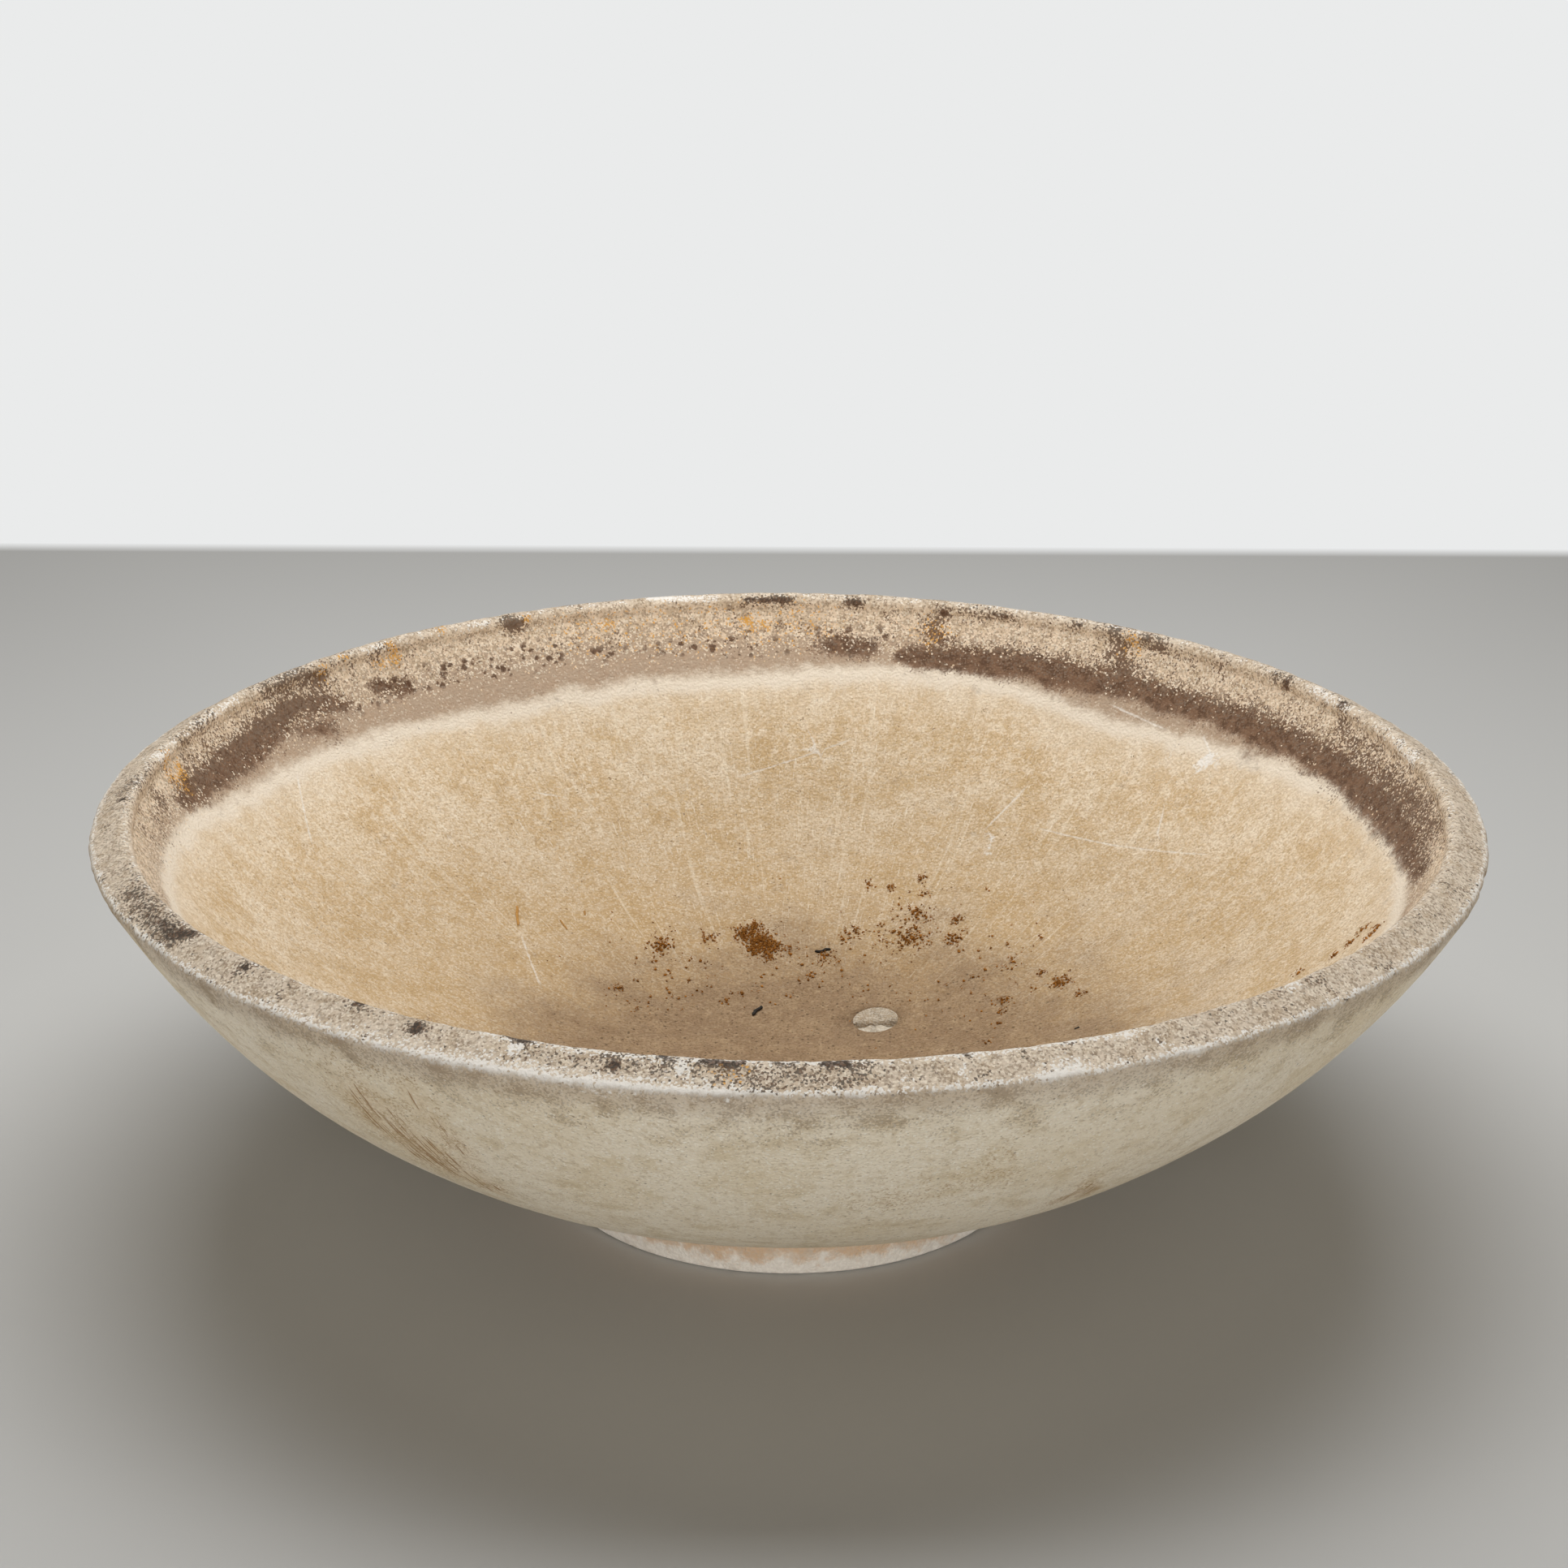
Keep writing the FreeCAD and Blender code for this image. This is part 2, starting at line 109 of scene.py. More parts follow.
# Black growth on the rim
GRIME_CHAINS = (
    ((165, 1098, 15, 0.5), (183, 1127, 16, 0.6), (218, 1156, 13, 0.8), (237, 1150, 8, 0.8)),
    ((302, 1193, 8, 0.8),), ((443, 1237, 7, 1.0),), ((514, 1268, 8, 1.0),),
    ((630, 1278, 6, 1.0), (650, 1283, 6, 0.9)),
    ((757, 1316, 8, 1.0),), ((815, 1300, 6, 0.9), (826, 1306, 7, 0.7)),
    ((700, 1296, 14, 0.3), (760, 1305, 16, 0.4), (860, 1312, 16, 0.4)),
    ((868, 1306, 5, 0.9), (900, 1312, 9, 0.8), (915, 1308, 6, 0.8)),
    ((955, 1309, 4, 0.8), (985, 1312, 5, 0.6)),
    ((1015, 1310, 5, 0.9), (1042, 1310, 7, 0.9), (1050, 1320, 9, 0.5)),
    ((900, 1320, 22, 0.45), (970, 1325, 22, 0.4), (1050, 1322, 20, 0.35)), ((1191, 1300, 7, 0.7),),
    ((1620, 1205, 10, 0.5),), ((150, 985, 8, 0.8),), ((1585, 842, 7, 0.9),), ((1655, 865, 7, 0.8),),
    ((920, 739, 5, 0.8), (971, 739, 6, 0.9)), ((1046, 742, 7, 0.8), (1058, 742, 7, 0.8)),
    ((1163, 755, 7, 0.9),), ((1222, 757, 5, 0.7), (1245, 760, 5, 0.7)), ((1328, 768, 6, 0.8),),
    ((1572, 830, 7, 0.9),), ((1745, 928, 9, 0.6),),
    ((300, 845, 10, 0.6), (262, 880, 10, 0.5), (225, 915, 10, 0.4)),
    ((190, 945, 6, 0.5), (150, 980, 6, 0.7)), ((470, 800, 7, 0.5), (455, 815, 6, 0.5)),
    ((191, 975, 8, 0.5), (201, 990, 10, 0.6), (196, 1010, 9, 0.4)), ((177, 1020, 6, 0.7),),
)
# Scattered dark lichen dots between the algae and the crust
DOTTED_CHAINS = (
    ((440, 868, 12, 0.5), (500, 838, 12, 0.8), (566, 828, 12, 1.0), (611, 820, 12, 1.0), (678, 803, 13, 1.0)),
    ((720, 808, 10, 0.6), (790, 800, 10, 0.3), (870, 795, 11, 0.8), (910, 797, 11, 0.8), (970, 795, 11, 0.5)),
    ((1010, 780, 16, 0.4), (1080, 785, 16, 0.5)),
)
# Ochre lichen
OCHRE_CHAINS = (
    ((222, 945, 6, 0.9), (232, 972, 7, 0.9)), ((205, 930, 8, 0.4), (215, 960, 8, 0.5)), ((395, 830, 8, 0.5),),
    ((425, 808, 5, 0.6),), ((487, 812, 6, 0.9), (482, 793, 5, 0.7)), ((468, 815, 6, 0.6),),
    ((545, 773, 6, 0.5),), ((651, 760, 5, 0.7),), ((750, 766, 6, 0.6),),
    ((919, 765, 5, 0.9), (928, 773, 5, 0.7)), ((942, 771, 5, 0.7),),
    ((998, 775, 6, 0.5),), ((1150, 780, 14, 0.4),), ((1395, 795, 12, 0.4),), ((900, 1316, 16, 0.3),),
    ((1038, 1307, 6, 0.6),), ((700, 780, 30, 0.08), (1000, 765, 30, 0.12)),
)
# White lime on worn places: along the arris, on the rim's knocks and as flecks inside
LIME_CHAINS = (
    ((330, 1240, 6, 0.5), (480, 1293, 7, 0.8), (620, 1322, 9, 1.0), (760, 1342, 8, 1.0), (900, 1351, 7, 0.9)),
    ((900, 1351, 6, 0.7), (960, 1356, 5, 0.4)), ((632, 1295, 6, 1.0), (640, 1290, 5, 0.9)),
    ((836, 1315, 6, 0.8), (846, 1330, 6, 0.8)), ((1120, 1335, 6, 0.7),), ((1185, 1324, 6, 0.9),),
    ((1284, 1331, 7, 1.2), (1306, 1326, 9, 1.5), (1326, 1319, 8, 1.3)),
    ((1430, 1293, 7, 0.7), (1478, 1300, 7, 0.7)),
    ((1590, 1212, 7, 0.8),), ((1208, 1030, 10, 0.7), (1222, 1031, 10, 0.8)), ((1217, 1047, 11, 0.9),),
    ((1491, 935, 12, 1.0), (1478, 945, 11, 0.9)), ((1440, 930, 11, 0.7),), ((1440, 1418, 8, 0.5),),
    ((735, 1470, 6, 0.4), (765, 1475, 6, 0.4)), ((800, 737, 4, 0.9), (880, 736, 4, 0.9)),
    ((450, 800, 4, 0.8), (600, 768, 4, 0.5)),
    ((160, 955, 5, 0.8), (200, 930, 5, 0.8), (290, 860, 5, 0.6)), ((1620, 848, 5, 0.6), (1740, 935, 7, 0.8)),
    (
        (480, 1240, 4, 0.4), (600, 1275, 4, 0.5), (720, 1295, 4, 0.5), (840, 1306, 4, 0.6),
        (1033, 1308, 4, 0.6),
    ),
    ((1033, 1308, 4, 0.5), (1200, 1299, 4, 0.5), (1400, 1271, 4, 0.6), (1560, 1212, 4, 0.4)),
)
# Rusty drips on the outer wall
RUST_CHAINS = (
    ((430, 1325, 36, 0.5), (475, 1380, 42, 0.85), (540, 1430, 40, 0.95), (600, 1462, 26, 0.8)),
    ((500, 1340, 22, 0.6), (570, 1420, 24, 0.7)),
    ((1300, 1482, 11, 1.0), (1340, 1472, 12, 1.0), (1394, 1459, 9, 1.0)),
    ((1100, 1480, 40, 0.35), (1230, 1440, 45, 0.35)),
)
# The chains by the names of the mesh's attributes
STONE_CHAINS = {
    "algae": ALGAE_CHAINS, "grime": GRIME_CHAINS, "dotted": DOTTED_CHAINS, "ochre": OCHRE_CHAINS,
    "lime": LIME_CHAINS, "rust": RUST_CHAINS,
}
# Chalky scratches inside: the pixels of both ends
SCRATCH_PIXELS = (
    ((1486, 914), (1497, 942)), ((1478, 950), (1498, 937)), ((1427, 1026), (1432, 1006)),
    ((1379, 873), (1427, 895)), ((1291, 1024), (1372, 1042)), ((1372, 1042), (1480, 1053)),
    ((920, 954), (1038, 915)), ((1000, 909), (1010, 930)), ((1223, 1013), (1255, 980)),
    ((369, 966), (382, 1030)), ((646, 1163), (662, 1205)), ((668, 978), (682, 980)),
)
# Clumps of dried moss: a pixel read off the photograph, and a radius in mm and a count of crumbs judged
# from it
MOSS_PIXELS = (
    (930, 1142, 7, 50), (916, 1150, 9, 80), (934, 1158, 11, 180), (948, 1166, 10, 130), (928, 1172, 7, 60),
    (946, 1178, 6, 40), (815, 1165, 11, 80), (872, 1157, 7, 30), (972, 1172, 8, 24), (1017, 1180, 7, 36),
    (1132, 1127, 8, 44), (1125, 1156, 14, 110), (1097, 1150, 16, 50), (1050, 1149, 8, 30),
    (1040, 1158, 6, 12), (1140, 1132, 5, 12), (1178, 1156, 8, 44), (1178, 1133, 5, 24),
    (1072, 1091, 4, 12), (1096, 1094, 4, 14),
    (1136, 1084, 4, 16), (1139, 1101, 4, 10), (1120, 1115, 14, 14), (1308, 1211, 8, 60), (1284, 1201, 4, 12),
    (1245, 1186, 9, 16), (1237, 1234, 6, 22), (1234, 1248, 4, 8), (1229, 1263, 4, 8), (1217, 1285, 4, 6),
    (757, 1217, 8, 14), (785, 1240, 6, 12), (866, 1187, 5, 6), (1000, 1202, 4, 8), (1332, 1226, 6, 8),
    (1270, 1221, 4, 6), (1212, 1100, 4, 4), (1282, 1156, 3, 4), (1245, 1165, 3, 4), (893, 1234, 5, 8),
    (914, 1225, 4, 5), (1677, 1148, 4, 16), (1695, 1146, 4, 20), (1686, 1155, 3, 12), (1662, 1163, 3, 12),
    (1645, 1176, 3, 8), (1598, 1200, 4, 6), (1000, 1200, 60, 60), (1190, 1200, 60, 70), (820, 1210, 50, 60),
)
# Twig bits and straw bits: the pixels of both ends and the thickness in mm
TWIG_PIXELS = (
    ((928, 1252), (939, 1241), 3.2), ((1004, 1173), (1024, 1171), 3.0), ((1324, 1269), (1330, 1266), 2.0),
)
STRAW_PIXELS = (
    ((636, 1116), (638, 1141), 2.6), ((689, 1133), (699, 1146), 1.8), ((721, 1122), (721, 1128), 1.6),
)


def linear(code):
    """The linear colour, with alpha, of an sRGB hex code such as #C8B593."""
    shares = np.array([int(code[place:place + 2], 16) for place in (1, 3, 5)]) / 255
    curved = np.where(shares <= 0.04045, shares / 12.92, ((shares + 0.055) / 1.055) ** 2.4)
    return (*(float(share) for share in curved), 1.0)


def length(name, description, default):
    """A length property in metres."""
    return FloatProperty(
        name=name, description=description, default=default, subtype="DISTANCE", unit="LENGTH", precision=4
    )


def tint(name, description, code):
    """A colour property whose default is an sRGB hex code."""
    return FloatVectorProperty(
        name=name, description=description, default=linear(code), subtype="COLOR", size=4, min=0.0, max=1.0
    )


class PlanterShape(PropertyGroup):
    """Sizes of the stone pieces. Those that a box of the CAD model gives are read from it."""

    rim_radius: length("Rim radius", "Axis to the outermost line of the rim", BOWL_BOX[1].x)
    height: length("Height", "Floor to the crest of the rim", BOWL_BOX[1].z)
    underside: length("Underside", "Floor to the flat middle of the underside", BOWL_BOX[0].z)
    rim_width: length("Rim width", "Width of the rim top, seen from above", 35 * MM)
    rim_fall: length("Rim fall", "Drop from the crest to the middle of the arris", 17 * MM)
    crest_round: length("Crest rounding", "Radius of the rim's inner edge", 8 * MM)
    arris_round: length("Arris rounding", "Radius of the rim's outer edge", 6 * MM)
    lip_band: length("Lip band", "Height of the upright band under the crest", 6 * MM)
    flat_radius: length("Flat radius", "Radius of the flat middle of the floor", 53 * MM)
    floor_thickness: length("Floor thickness", "Thickness of the bowl at its middle", 55 * MM)
    patch_radius: length("Patch radius", "Circle where the walls pass into the floor's rings", 215 * MM)
    hole_radius: length(
        "Hole radius", "Radius of the drain hole", (REAR_PLUG_BOX[1].x - REAR_PLUG_BOX[0].x) / 2
    )
    hole_x: length("Hole X", "Middle of the drain hole", (REAR_PLUG_BOX[0].x + REAR_PLUG_BOX[1].x) / 2)
    hole_y: length("Hole Y", "Middle of the drain hole", (FRONT_PLUG_BOX[0].y + REAR_PLUG_BOX[1].y) / 2)
    foot_radius: length("Foot radius", "Outside of the foot at its top", FOOT_BOX[1].x)
    foot_flare: length("Foot flare", "How much wider the foot is at its top", 5 * MM)
    foot_width: length("Foot width", "Width of the foot's ring at the floor", 33 * MM)
    foot_round: length("Foot rounding", "Radius of the foot's lower edges", 4 * MM)
    bed_radius: length("Bed radius", "Outside of the mortar bed", BED_BOX[1].x)
    bed_thickness: length("Bed thickness", "Mortar between the foot and the bowl", 4 * MM)
    plug_rise: length("Plug rise", "How far the rear of the plug stands over the floor", 1.5 * MM)
    plug_sink: length("Plug sink", "How far the front of the plug lies under the floor", 4 * MM)
    columns: IntProperty(name="Columns", description="Grid lines round the bowl", default=880)


class StoneFinish(PropertyGroup):
    """Colours of the stone, its growth and its dirt, with a painted shade under the rim."""

    felt_light: tint("Felt, light", "Pale mottles of the inner face", "#F0E1CA")
    felt_dark: tint("Felt, dark", "Darker mottles of the inner face", "#D9BF9A")
    silt: tint("Silt", "Silt over the floor", "#957B60")
    halo: tint("Halo", "Lime left along the soil line", "#E8DCCA")
    bleached: tint("Bleached band", "Washed stone above the soil line", "#B19C86")
    algae: tint("Algae", "Dried algae above the soil line", "#775A45")
    algae_deep: tint("Algae, deep", "Thickest algae", "#543B2A")
    crust: tint("Crust", "Ground of the crust on the rim top", "#D5C5B1")
    crust_warm: tint("Crust, warm", "Ground of the crust inside", "#E0CAAF")
    wall: tint("Wall", "Outer face", "#EDE1CB")
    wall_warm: tint("Wall, warm", "Warmer clouds of the outer face", "#E0CEAD")
    # The wall's grey dirt, also laid as painted shade in a band just under the arris
    wall_dirt_and_shade: tint("Wall dirt", "Grey dirt under the rim", "#A38B75")
    rust: tint("Rust", "Rusty drips", "#9A7140")
    lichen: tint("Lichen", "Ochre lichen in the crust", "#D69A30")
    lime: tint("Lime", "Worn edges and chalk marks", "#F0EBE3")
    soot: tint("Soot", "Black growth on the rim", "#453B33")
    foot: tint("Foot", "Face of the foot", "#EFE7DB")
    foot_stain: tint("Foot stain", "Stains on the foot and the bed", "#C99A62")
    mortar: tint("Mortar", "Bed and plug", "#B5A48C")


class DebrisFinish(PropertyGroup):
    """Colours of what lies in the bowl."""

    moss: tint("Moss", "Dried moss", "#B97B30")
    moss_dark: tint("Moss, dark", "Older, darker moss", "#57371A")
    twig: tint("Twig", "Charred twig bits", "#2E2A27")
    straw: tint("Straw", "Straw bits", "#C08B45")


class PhotoView(PropertyGroup):
    """The photograph's camera, fitted to the rim and the foot, and the plain studio."""

    eye: FloatVectorProperty(
        name="Eye", description="Place of the camera", default=(-0.0042, -2.855, 1.401), subtype="TRANSLATION"
    )
    pitch: FloatProperty(
        name="Pitch", description="Angle below the horizon", default=math.radians(20.15), subtype="ANGLE"
    )
    roll: FloatProperty(
        name="Roll", description="Turn about the line of sight", default=math.radians(0.24), subtype="ANGLE"
    )
    focus: FloatProperty(name="Focus", description="Focal length in pixels of the photograph", default=4500.0)
    ground: tint("Floor", "Studio floor near the planter", "#C6C6C4")
    backdrop: tint("Backdrop", "Studio floor further off", "#EAEBEB")
    lamp_watts: FloatProperty(
        name="Lamp", description="Power of the overhead lamp", default=69.0, unit="POWER"
    )
    front_strength: FloatProperty(name="Front lamps", description="Strength of each low lamp", default=1.05)
    fill: FloatProperty(name="Fill", description="Strength of the light from all round", default=0.13)
    fill_tint: tint("Fill colour", "Colour of the light from all round", "#FFF7EA")


def ease(value, start, end):
    """A smooth step: 0 at start, 1 at end and 3s² − 2s³ of the share s between them."""
    share = np.clip((value - start) / (end - start), 0, 1)
    return share * share * (3 - 2 * share)


def between(start, end, rows):
    """Evenly spaced points inside a straight line, its ends left out."""
    share = (np.arange(rows) + 1)[:, None] / (rows + 1)
    return start * (1 - share) + end * share


def arc_points(centre, radius, start, end, rows, crowding=1.0):
    """Points of an arc: centre + radius × (cos, sin), its angles spaced as share^crowding."""
    angles = start + (end - start) * np.linspace(0, 1, rows) ** crowding
    return np.array(centre) + radius * np.stack([np.cos(angles), np.sin(angles)], axis=-1)


HASH_STRIDES = np.array([73856093, 19349663, 83492791])
HASH_MIX = 1274126177
HASH_SPAN = 0xFFFF


def cloud(points, size, seed):
    """Smooth noise from −1 to 1 with lumps of that size.

    Space is cut into cubes of that size. Each corner gets a number hashed from its place and the seed, and a
    point takes the corners' mean, weighted along each axis by the smooth step of its place in the cube.
    """
    scaled = points / size
    cell = np.floor(scaled)
    share = ease(scaled - cell, 0, 1)
    cell = cell.astype(np.int64)
    total = np.zeros(points.shape[:-1])
    for corner in itertools.product((0, 1), repeat=3):
        mixed = ((cell + corner) * HASH_STRIDES).sum(-1) + seed * HASH_SPAN
        mixed = (mixed ^ (mixed >> 13)) * HASH_MIX
        mixed = mixed ^ (mixed >> 17)
        value = ((mixed >> 5) & HASH_SPAN) * 2 / HASH_SPAN - 1
        total += value * np.prod(np.where(corner, share, 1 - share), axis=-1)
    return total


class Section:
    """The bowl's half section, as the CAD model has it.

    The outer arc leaves the flat underside level and runs into the rounded arris. The rim top is the straight
    line that touches the arris and crest roundings. A short upright lip follows, and the inner arc runs from
    it down to the flat floor, which it meets level.
    """

    def __init__(self, shape):
        self.shape = shape
        self.flat = shape.flat_radius
        self.base = shape.underside
        self.bed = shape.underside + shape.floor_thickness
        self.arris = (shape.rim_radius - shape.arris_round, shape.height - shape.rim_fall)
        lip_radius = shape.rim_radius - shape.rim_width
        self.crest = (lip_radius + shape.crest_round, shape.height - shape.crest_round)
        self.lip = (lip_radius, self.crest[1] - shape.lip_band)
        wall_run, wall_rise = self.arris[0] - self.flat, self.arris[1] - self.base
        self.wall_arc = self.level_arc(wall_run, wall_rise, shape.arris_round)
        self.hollow_arc = self.level_arc(self.lip[0] - self.flat, self.lip[1] - self.bed, 0)

    @staticmethod
    def level_arc(run, rise, rounding):
        """Radius R of an arc that starts level and touches a rounding whose centre lies run out and rise up.

        Both centres and the touching point are in line, so run² + (R − rise)² = (R − rounding)², which is
        solved for R.
        """
        return (run**2 + rise**2 - rounding**2) / (2 * (rise - rounding))

    def above_arc(self, radius, base, arc):
        """Height of a level arc at a distance from the axis: base + arc − √(arc² − (radius − flat)²)."""
        reach = np.clip(radius - self.flat, 0, arc)
        return base + arc - np.sqrt(arc**2 - reach**2)

    def under(self, radius):
        """Height of the underside and outer wall at a distance from the axis."""
        return self.above_arc(radius, self.base, self.wall_arc)

    def floor(self, radius):
        """Height of the floor and inner wall at a distance from the axis."""
        return self.above_arc(radius, self.bed, self.hollow_arc)

    def holds(self, radius, height):
        """Where a point is in the stone: over the underside and under the floor.

        Past the lip the rim top takes the floor's place.
        """
        fall = ease(radius, self.crest[0], self.arris[0]) * self.shape.rim_fall
        top = np.where(radius < self.lip[0], self.floor(radius), self.shape.height - fall)
        return (radius < self.shape.rim_radius) & (height > self.under(radius)) & (height < top)

    def floor_normal(self, points):
        """Upward normals of the floor and inner wall: towards the centre of the arc, or straight up."""
        radius = np.hypot(points[:, 0], points[:, 1])[:, None]
        reach = np.clip(radius - self.flat, 0, None)
        outward = points[:, :2] / np.maximum(radius, MM)
        upward = np.sqrt(self.hollow_arc**2 - reach**2)
        return np.hstack([-outward * reach, upward]) / self.hollow_arc

    def rim_slope(self):
        """Angle of the normal of the rim top, a line that touches both roundings.

        cos(angle + lean) = (crest rounding − arris rounding) / distance, where distance and lean are those of
        the line between the roundings' centres.
        """
        across = self.arris[0] - self.crest[0]
        drop = self.crest[1] - self.arris[1]
        gap = self.shape.crest_round - self.shape.arris_round
        return math.acos(gap / math.hypot(across, drop)) - math.atan2(drop, across)

    def revolved(self, start):
        """Points (radius, height) from the underside at a start radius over the rim to the floor there."""
        shape = self.shape
        slope = self.rim_slope()
        quarter = math.pi / 2
        wall_from = math.asin((start - self.flat) / self.wall_arc) - quarter
        wall_to = math.atan2(self.arris[0] - self.flat, self.base + self.wall_arc - self.arris[1]) - quarter
        hollow_from = math.asin((self.lip[0] - self.flat) / self.hollow_arc) - quarter
        hollow_to = math.asin((start - self.flat) / self.hollow_arc) - quarter
        wall_centre = (self.flat, self.base + self.wall_arc)
        wall = arc_points(wall_centre, self.wall_arc, wall_from, wall_to, WALL_ROWS)
        arris = arc_points(self.arris, shape.arris_round, wall_to, slope, ARRIS_ROWS)[1:]
        crest = arc_points(self.crest, shape.crest_round, slope, math.pi, CREST_ROWS)
        hollow_centre = (self.flat, self.bed + self.hollow_arc)
        hollow = arc_points(
            hollow_centre, self.hollow_arc, hollow_from, hollow_to, HOLLOW_ROWS, HOLLOW_CROWDING
        )
        top = between(arris[-1], crest[0], TOP_ROWS)
        lip = between(crest[-1], hollow[0], LIP_ROWS)
        return np.concatenate([wall, arris, top, crest, lip, hollow])


def camera_matrix(view):
    """The camera at its eye, tipped up from straight down and then rolled about its line of sight."""
    tip = Matrix.Rotation(math.pi / 2 - view.pitch, 4, "X")
    return Matrix.Translation(view.eye) @ tip @ Matrix.Rotation(view.roll, 4, "Z")


SIGHT_NEAR, SIGHT_FAR, SIGHT_STEPS = 1.9, 3.9, 5000


def seen(section, view, pixels):
    """The first point of the stone on the sight line through each pixel.

    A sight line has the direction (pixels right, pixels up, −focus) in the camera's frame. It is walked in
    even steps, and the first step that the section holds is taken.
    """
    offset = (np.asarray(pixels, float)[:, :2] - PHOTO_SIDE / 2) / view.focus
    sight = np.stack([offset[:, 0], -offset[:, 1], -np.ones(len(offset))], axis=-1)
    sight = sight @ np.array(camera_matrix(view).to_3x3()).T
    steps = np.linspace(SIGHT_NEAR, SIGHT_FAR, SIGHT_STEPS)
    points = np.array(view.eye) + sight[:, None, :] * steps[:, None]
    stone = section.holds(np.hypot(points[..., 0], points[..., 1]), points[..., 2])
    return points[np.arange(len(points)), np.argmax(stone, axis=1)]


def nearest_on(points, start, stop):
    """Share of the way along a straight line nearest to each point, and the distance to there."""
    line = stop - start
    share = np.clip((points - start) @ line / max(line @ line, MM**2), 0, 1)
    return share, np.linalg.norm(points - start - share[..., None] * line, axis=-1)


def marked(points, section, view, chains):
    """Soft bands: the largest of strength × e^−(distance / radius)² over all chains.

    The distance is to the nearest place on the straight lines between a chain's marks, and radius and
    strength pass evenly from mark to mark. A chain of one mark is a round blot.
    """
    cover = np.zeros(points.shape[:-1])
    for chain in chains:
        places = seen(section, view, chain)
        for step in range(max(len(chain) - 1, 1)):
            after = min(step + 1, len(chain) - 1)
            share, distance = nearest_on(points, places[step], places[after])
            radius = (chain[step][2] * (1 - share) + chain[after][2] * share) * MM
            strength = chain[step][3] * (1 - share) + chain[after][3] * share
            cover = np.maximum(cover, strength * np.exp(-((distance / radius) ** 2)))
    return cover


def grid_normals(points):
    """Outward unit normals of a grid closed both ways: the cross product of its central differences."""
    around = np.roll(points, -1, axis=1) - np.roll(points, 1, axis=1)
    onward = np.roll(points, -1, axis=0) - np.roll(points, 1, axis=0)
    normals = np.cross(around, onward)
    return normals / np.linalg.norm(normals, axis=-1, keepdims=True)


def grid_faces(rows, columns, closed):
    """Quads between neighbouring rows and columns. The last column meets the first, as rows do if closed."""
    row = np.arange(rows if closed else rows - 1)[:, None]
    column = np.arange(columns)[None, :]
    near, far = row * columns, (row + 1) % rows * columns
    after = (column + 1) % columns
    return np.stack([near + column, near + after, far + after, far + column], axis=-1).reshape(-1, 4)


def capped_faces(rows, columns):
    """Faces of a tube of rows whose ends close on two more points, the first and then the last row's."""
    column = np.arange(columns)
    after = (column + 1) % columns
    first, last = rows * columns, rows * columns + 1
    end = (rows - 1) * columns
    low = np.stack([after, column, np.full(columns, first)], axis=-1)
    high = np.stack([end + column, end + after, np.full(columns, last)], axis=-1)
    return grid_faces(rows, columns, False).tolist() + low.tolist() + high.tolist()


def make_piece(name, points, faces, material, **attributes):
    """An object at the origin with its place in its mesh, smooth shaded, riding on the planter's one body."""
    mesh = bpy.data.meshes.new(name)
    mesh.from_pydata(points.reshape(-1, 3).tolist(), [], faces)
    mesh.shade_smooth()
    for key, values in attributes.items():
        vector = values.shape[-1] == 3 and values.ndim == points.ndim
        layer = mesh.attributes.new(key, "FLOAT_VECTOR" if vector else "FLOAT", "POINT")
        values = np.ascontiguousarray(values, np.float32).ravel()
        layer.data.foreach_set("vector" if vector else "value", values)
    mesh.materials.append(material)
    piece = bpy.data.objects.new(name, mesh)
    bpy.context.scene.collection.objects.link(piece)
    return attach(piece, "root")


def add_node(tree, kind, inputs=None, output=0, **settings):
    """Adds a shader node, sets it up, links the inputs that are sockets and returns one of its outputs."""
    node = tree.nodes.new("ShaderNode" + kind)
    for name, value in settings.items():
        setattr(node, name, value)
    for key, value in (inputs or {}).items():
        if isinstance(value, bpy.types.NodeSocket):
            tree.links.new(value, node.inputs[key])
        else:
            node.inputs[key].default_value = value
    return node.outputs[output]


# Sockets of the Mix node for colours
MIX_FACTOR, MIX_UNDER, MIX_OVER, MIX_RESULT = 0, 6, 7, 2
# Grains of sand, coarser than real ones so that they show
GRAIN = 1.6 * MM
# Scale of the way along the section for drips and for fibres, which draws both out down the slope
DRIP_SQUEEZE, FIBRE_SQUEEZE = 0.05, 0.14


def paint(tree, ground, layers):
    """Lays coats of colour over a ground: each coat is a mask, a colour and how much of the mask covers."""
    for mask, colour, cover in layers:
        share = add_node(tree, "Math", {0: mask, 1: cover}, operation="MULTIPLY", use_clamp=True)
        inputs = {MIX_FACTOR: share, MIX_UNDER: ground, MIX_OVER: colour}
        ground = add_node(tree, "Mix", inputs, MIX_RESULT, data_type="RGBA")
    return ground


def mottle(tree, place, size, low, high, detail=3.0):
    """A cloudy mask: noise with lumps of that size, 0 where it is under low and 1 where it is over high."""
    noise = add_node(tree, "TexNoise", {"Vector": place, "Scale": 1 / size, "Detail": detail})
    return add_node(tree, "MapRange", {0: noise, 1: low, 2: high}, interpolation_type="SMOOTHSTEP")


def frayed(tree, value, place, size, amount, start, end):
    """A mask that goes from 0 to 1 as value goes from start to end, its edge frayed by noise of that size."""
    noise = add_node(tree, "TexNoise", {"Vector": place, "Scale": 1 / size, "Detail": 5.0, "Roughness": 0.65})
    shift = add_node(tree, "Math", {0: noise, 1: amount, 2: -amount / 2}, operation="MULTIPLY_ADD")
    moved = add_node(tree, "Math", {0: value, 1: shift}, operation="ADD")
    return add_node(tree, "MapRange", {0: moved, 1: start, 2: end}, interpolation_type="SMOOTHSTEP")


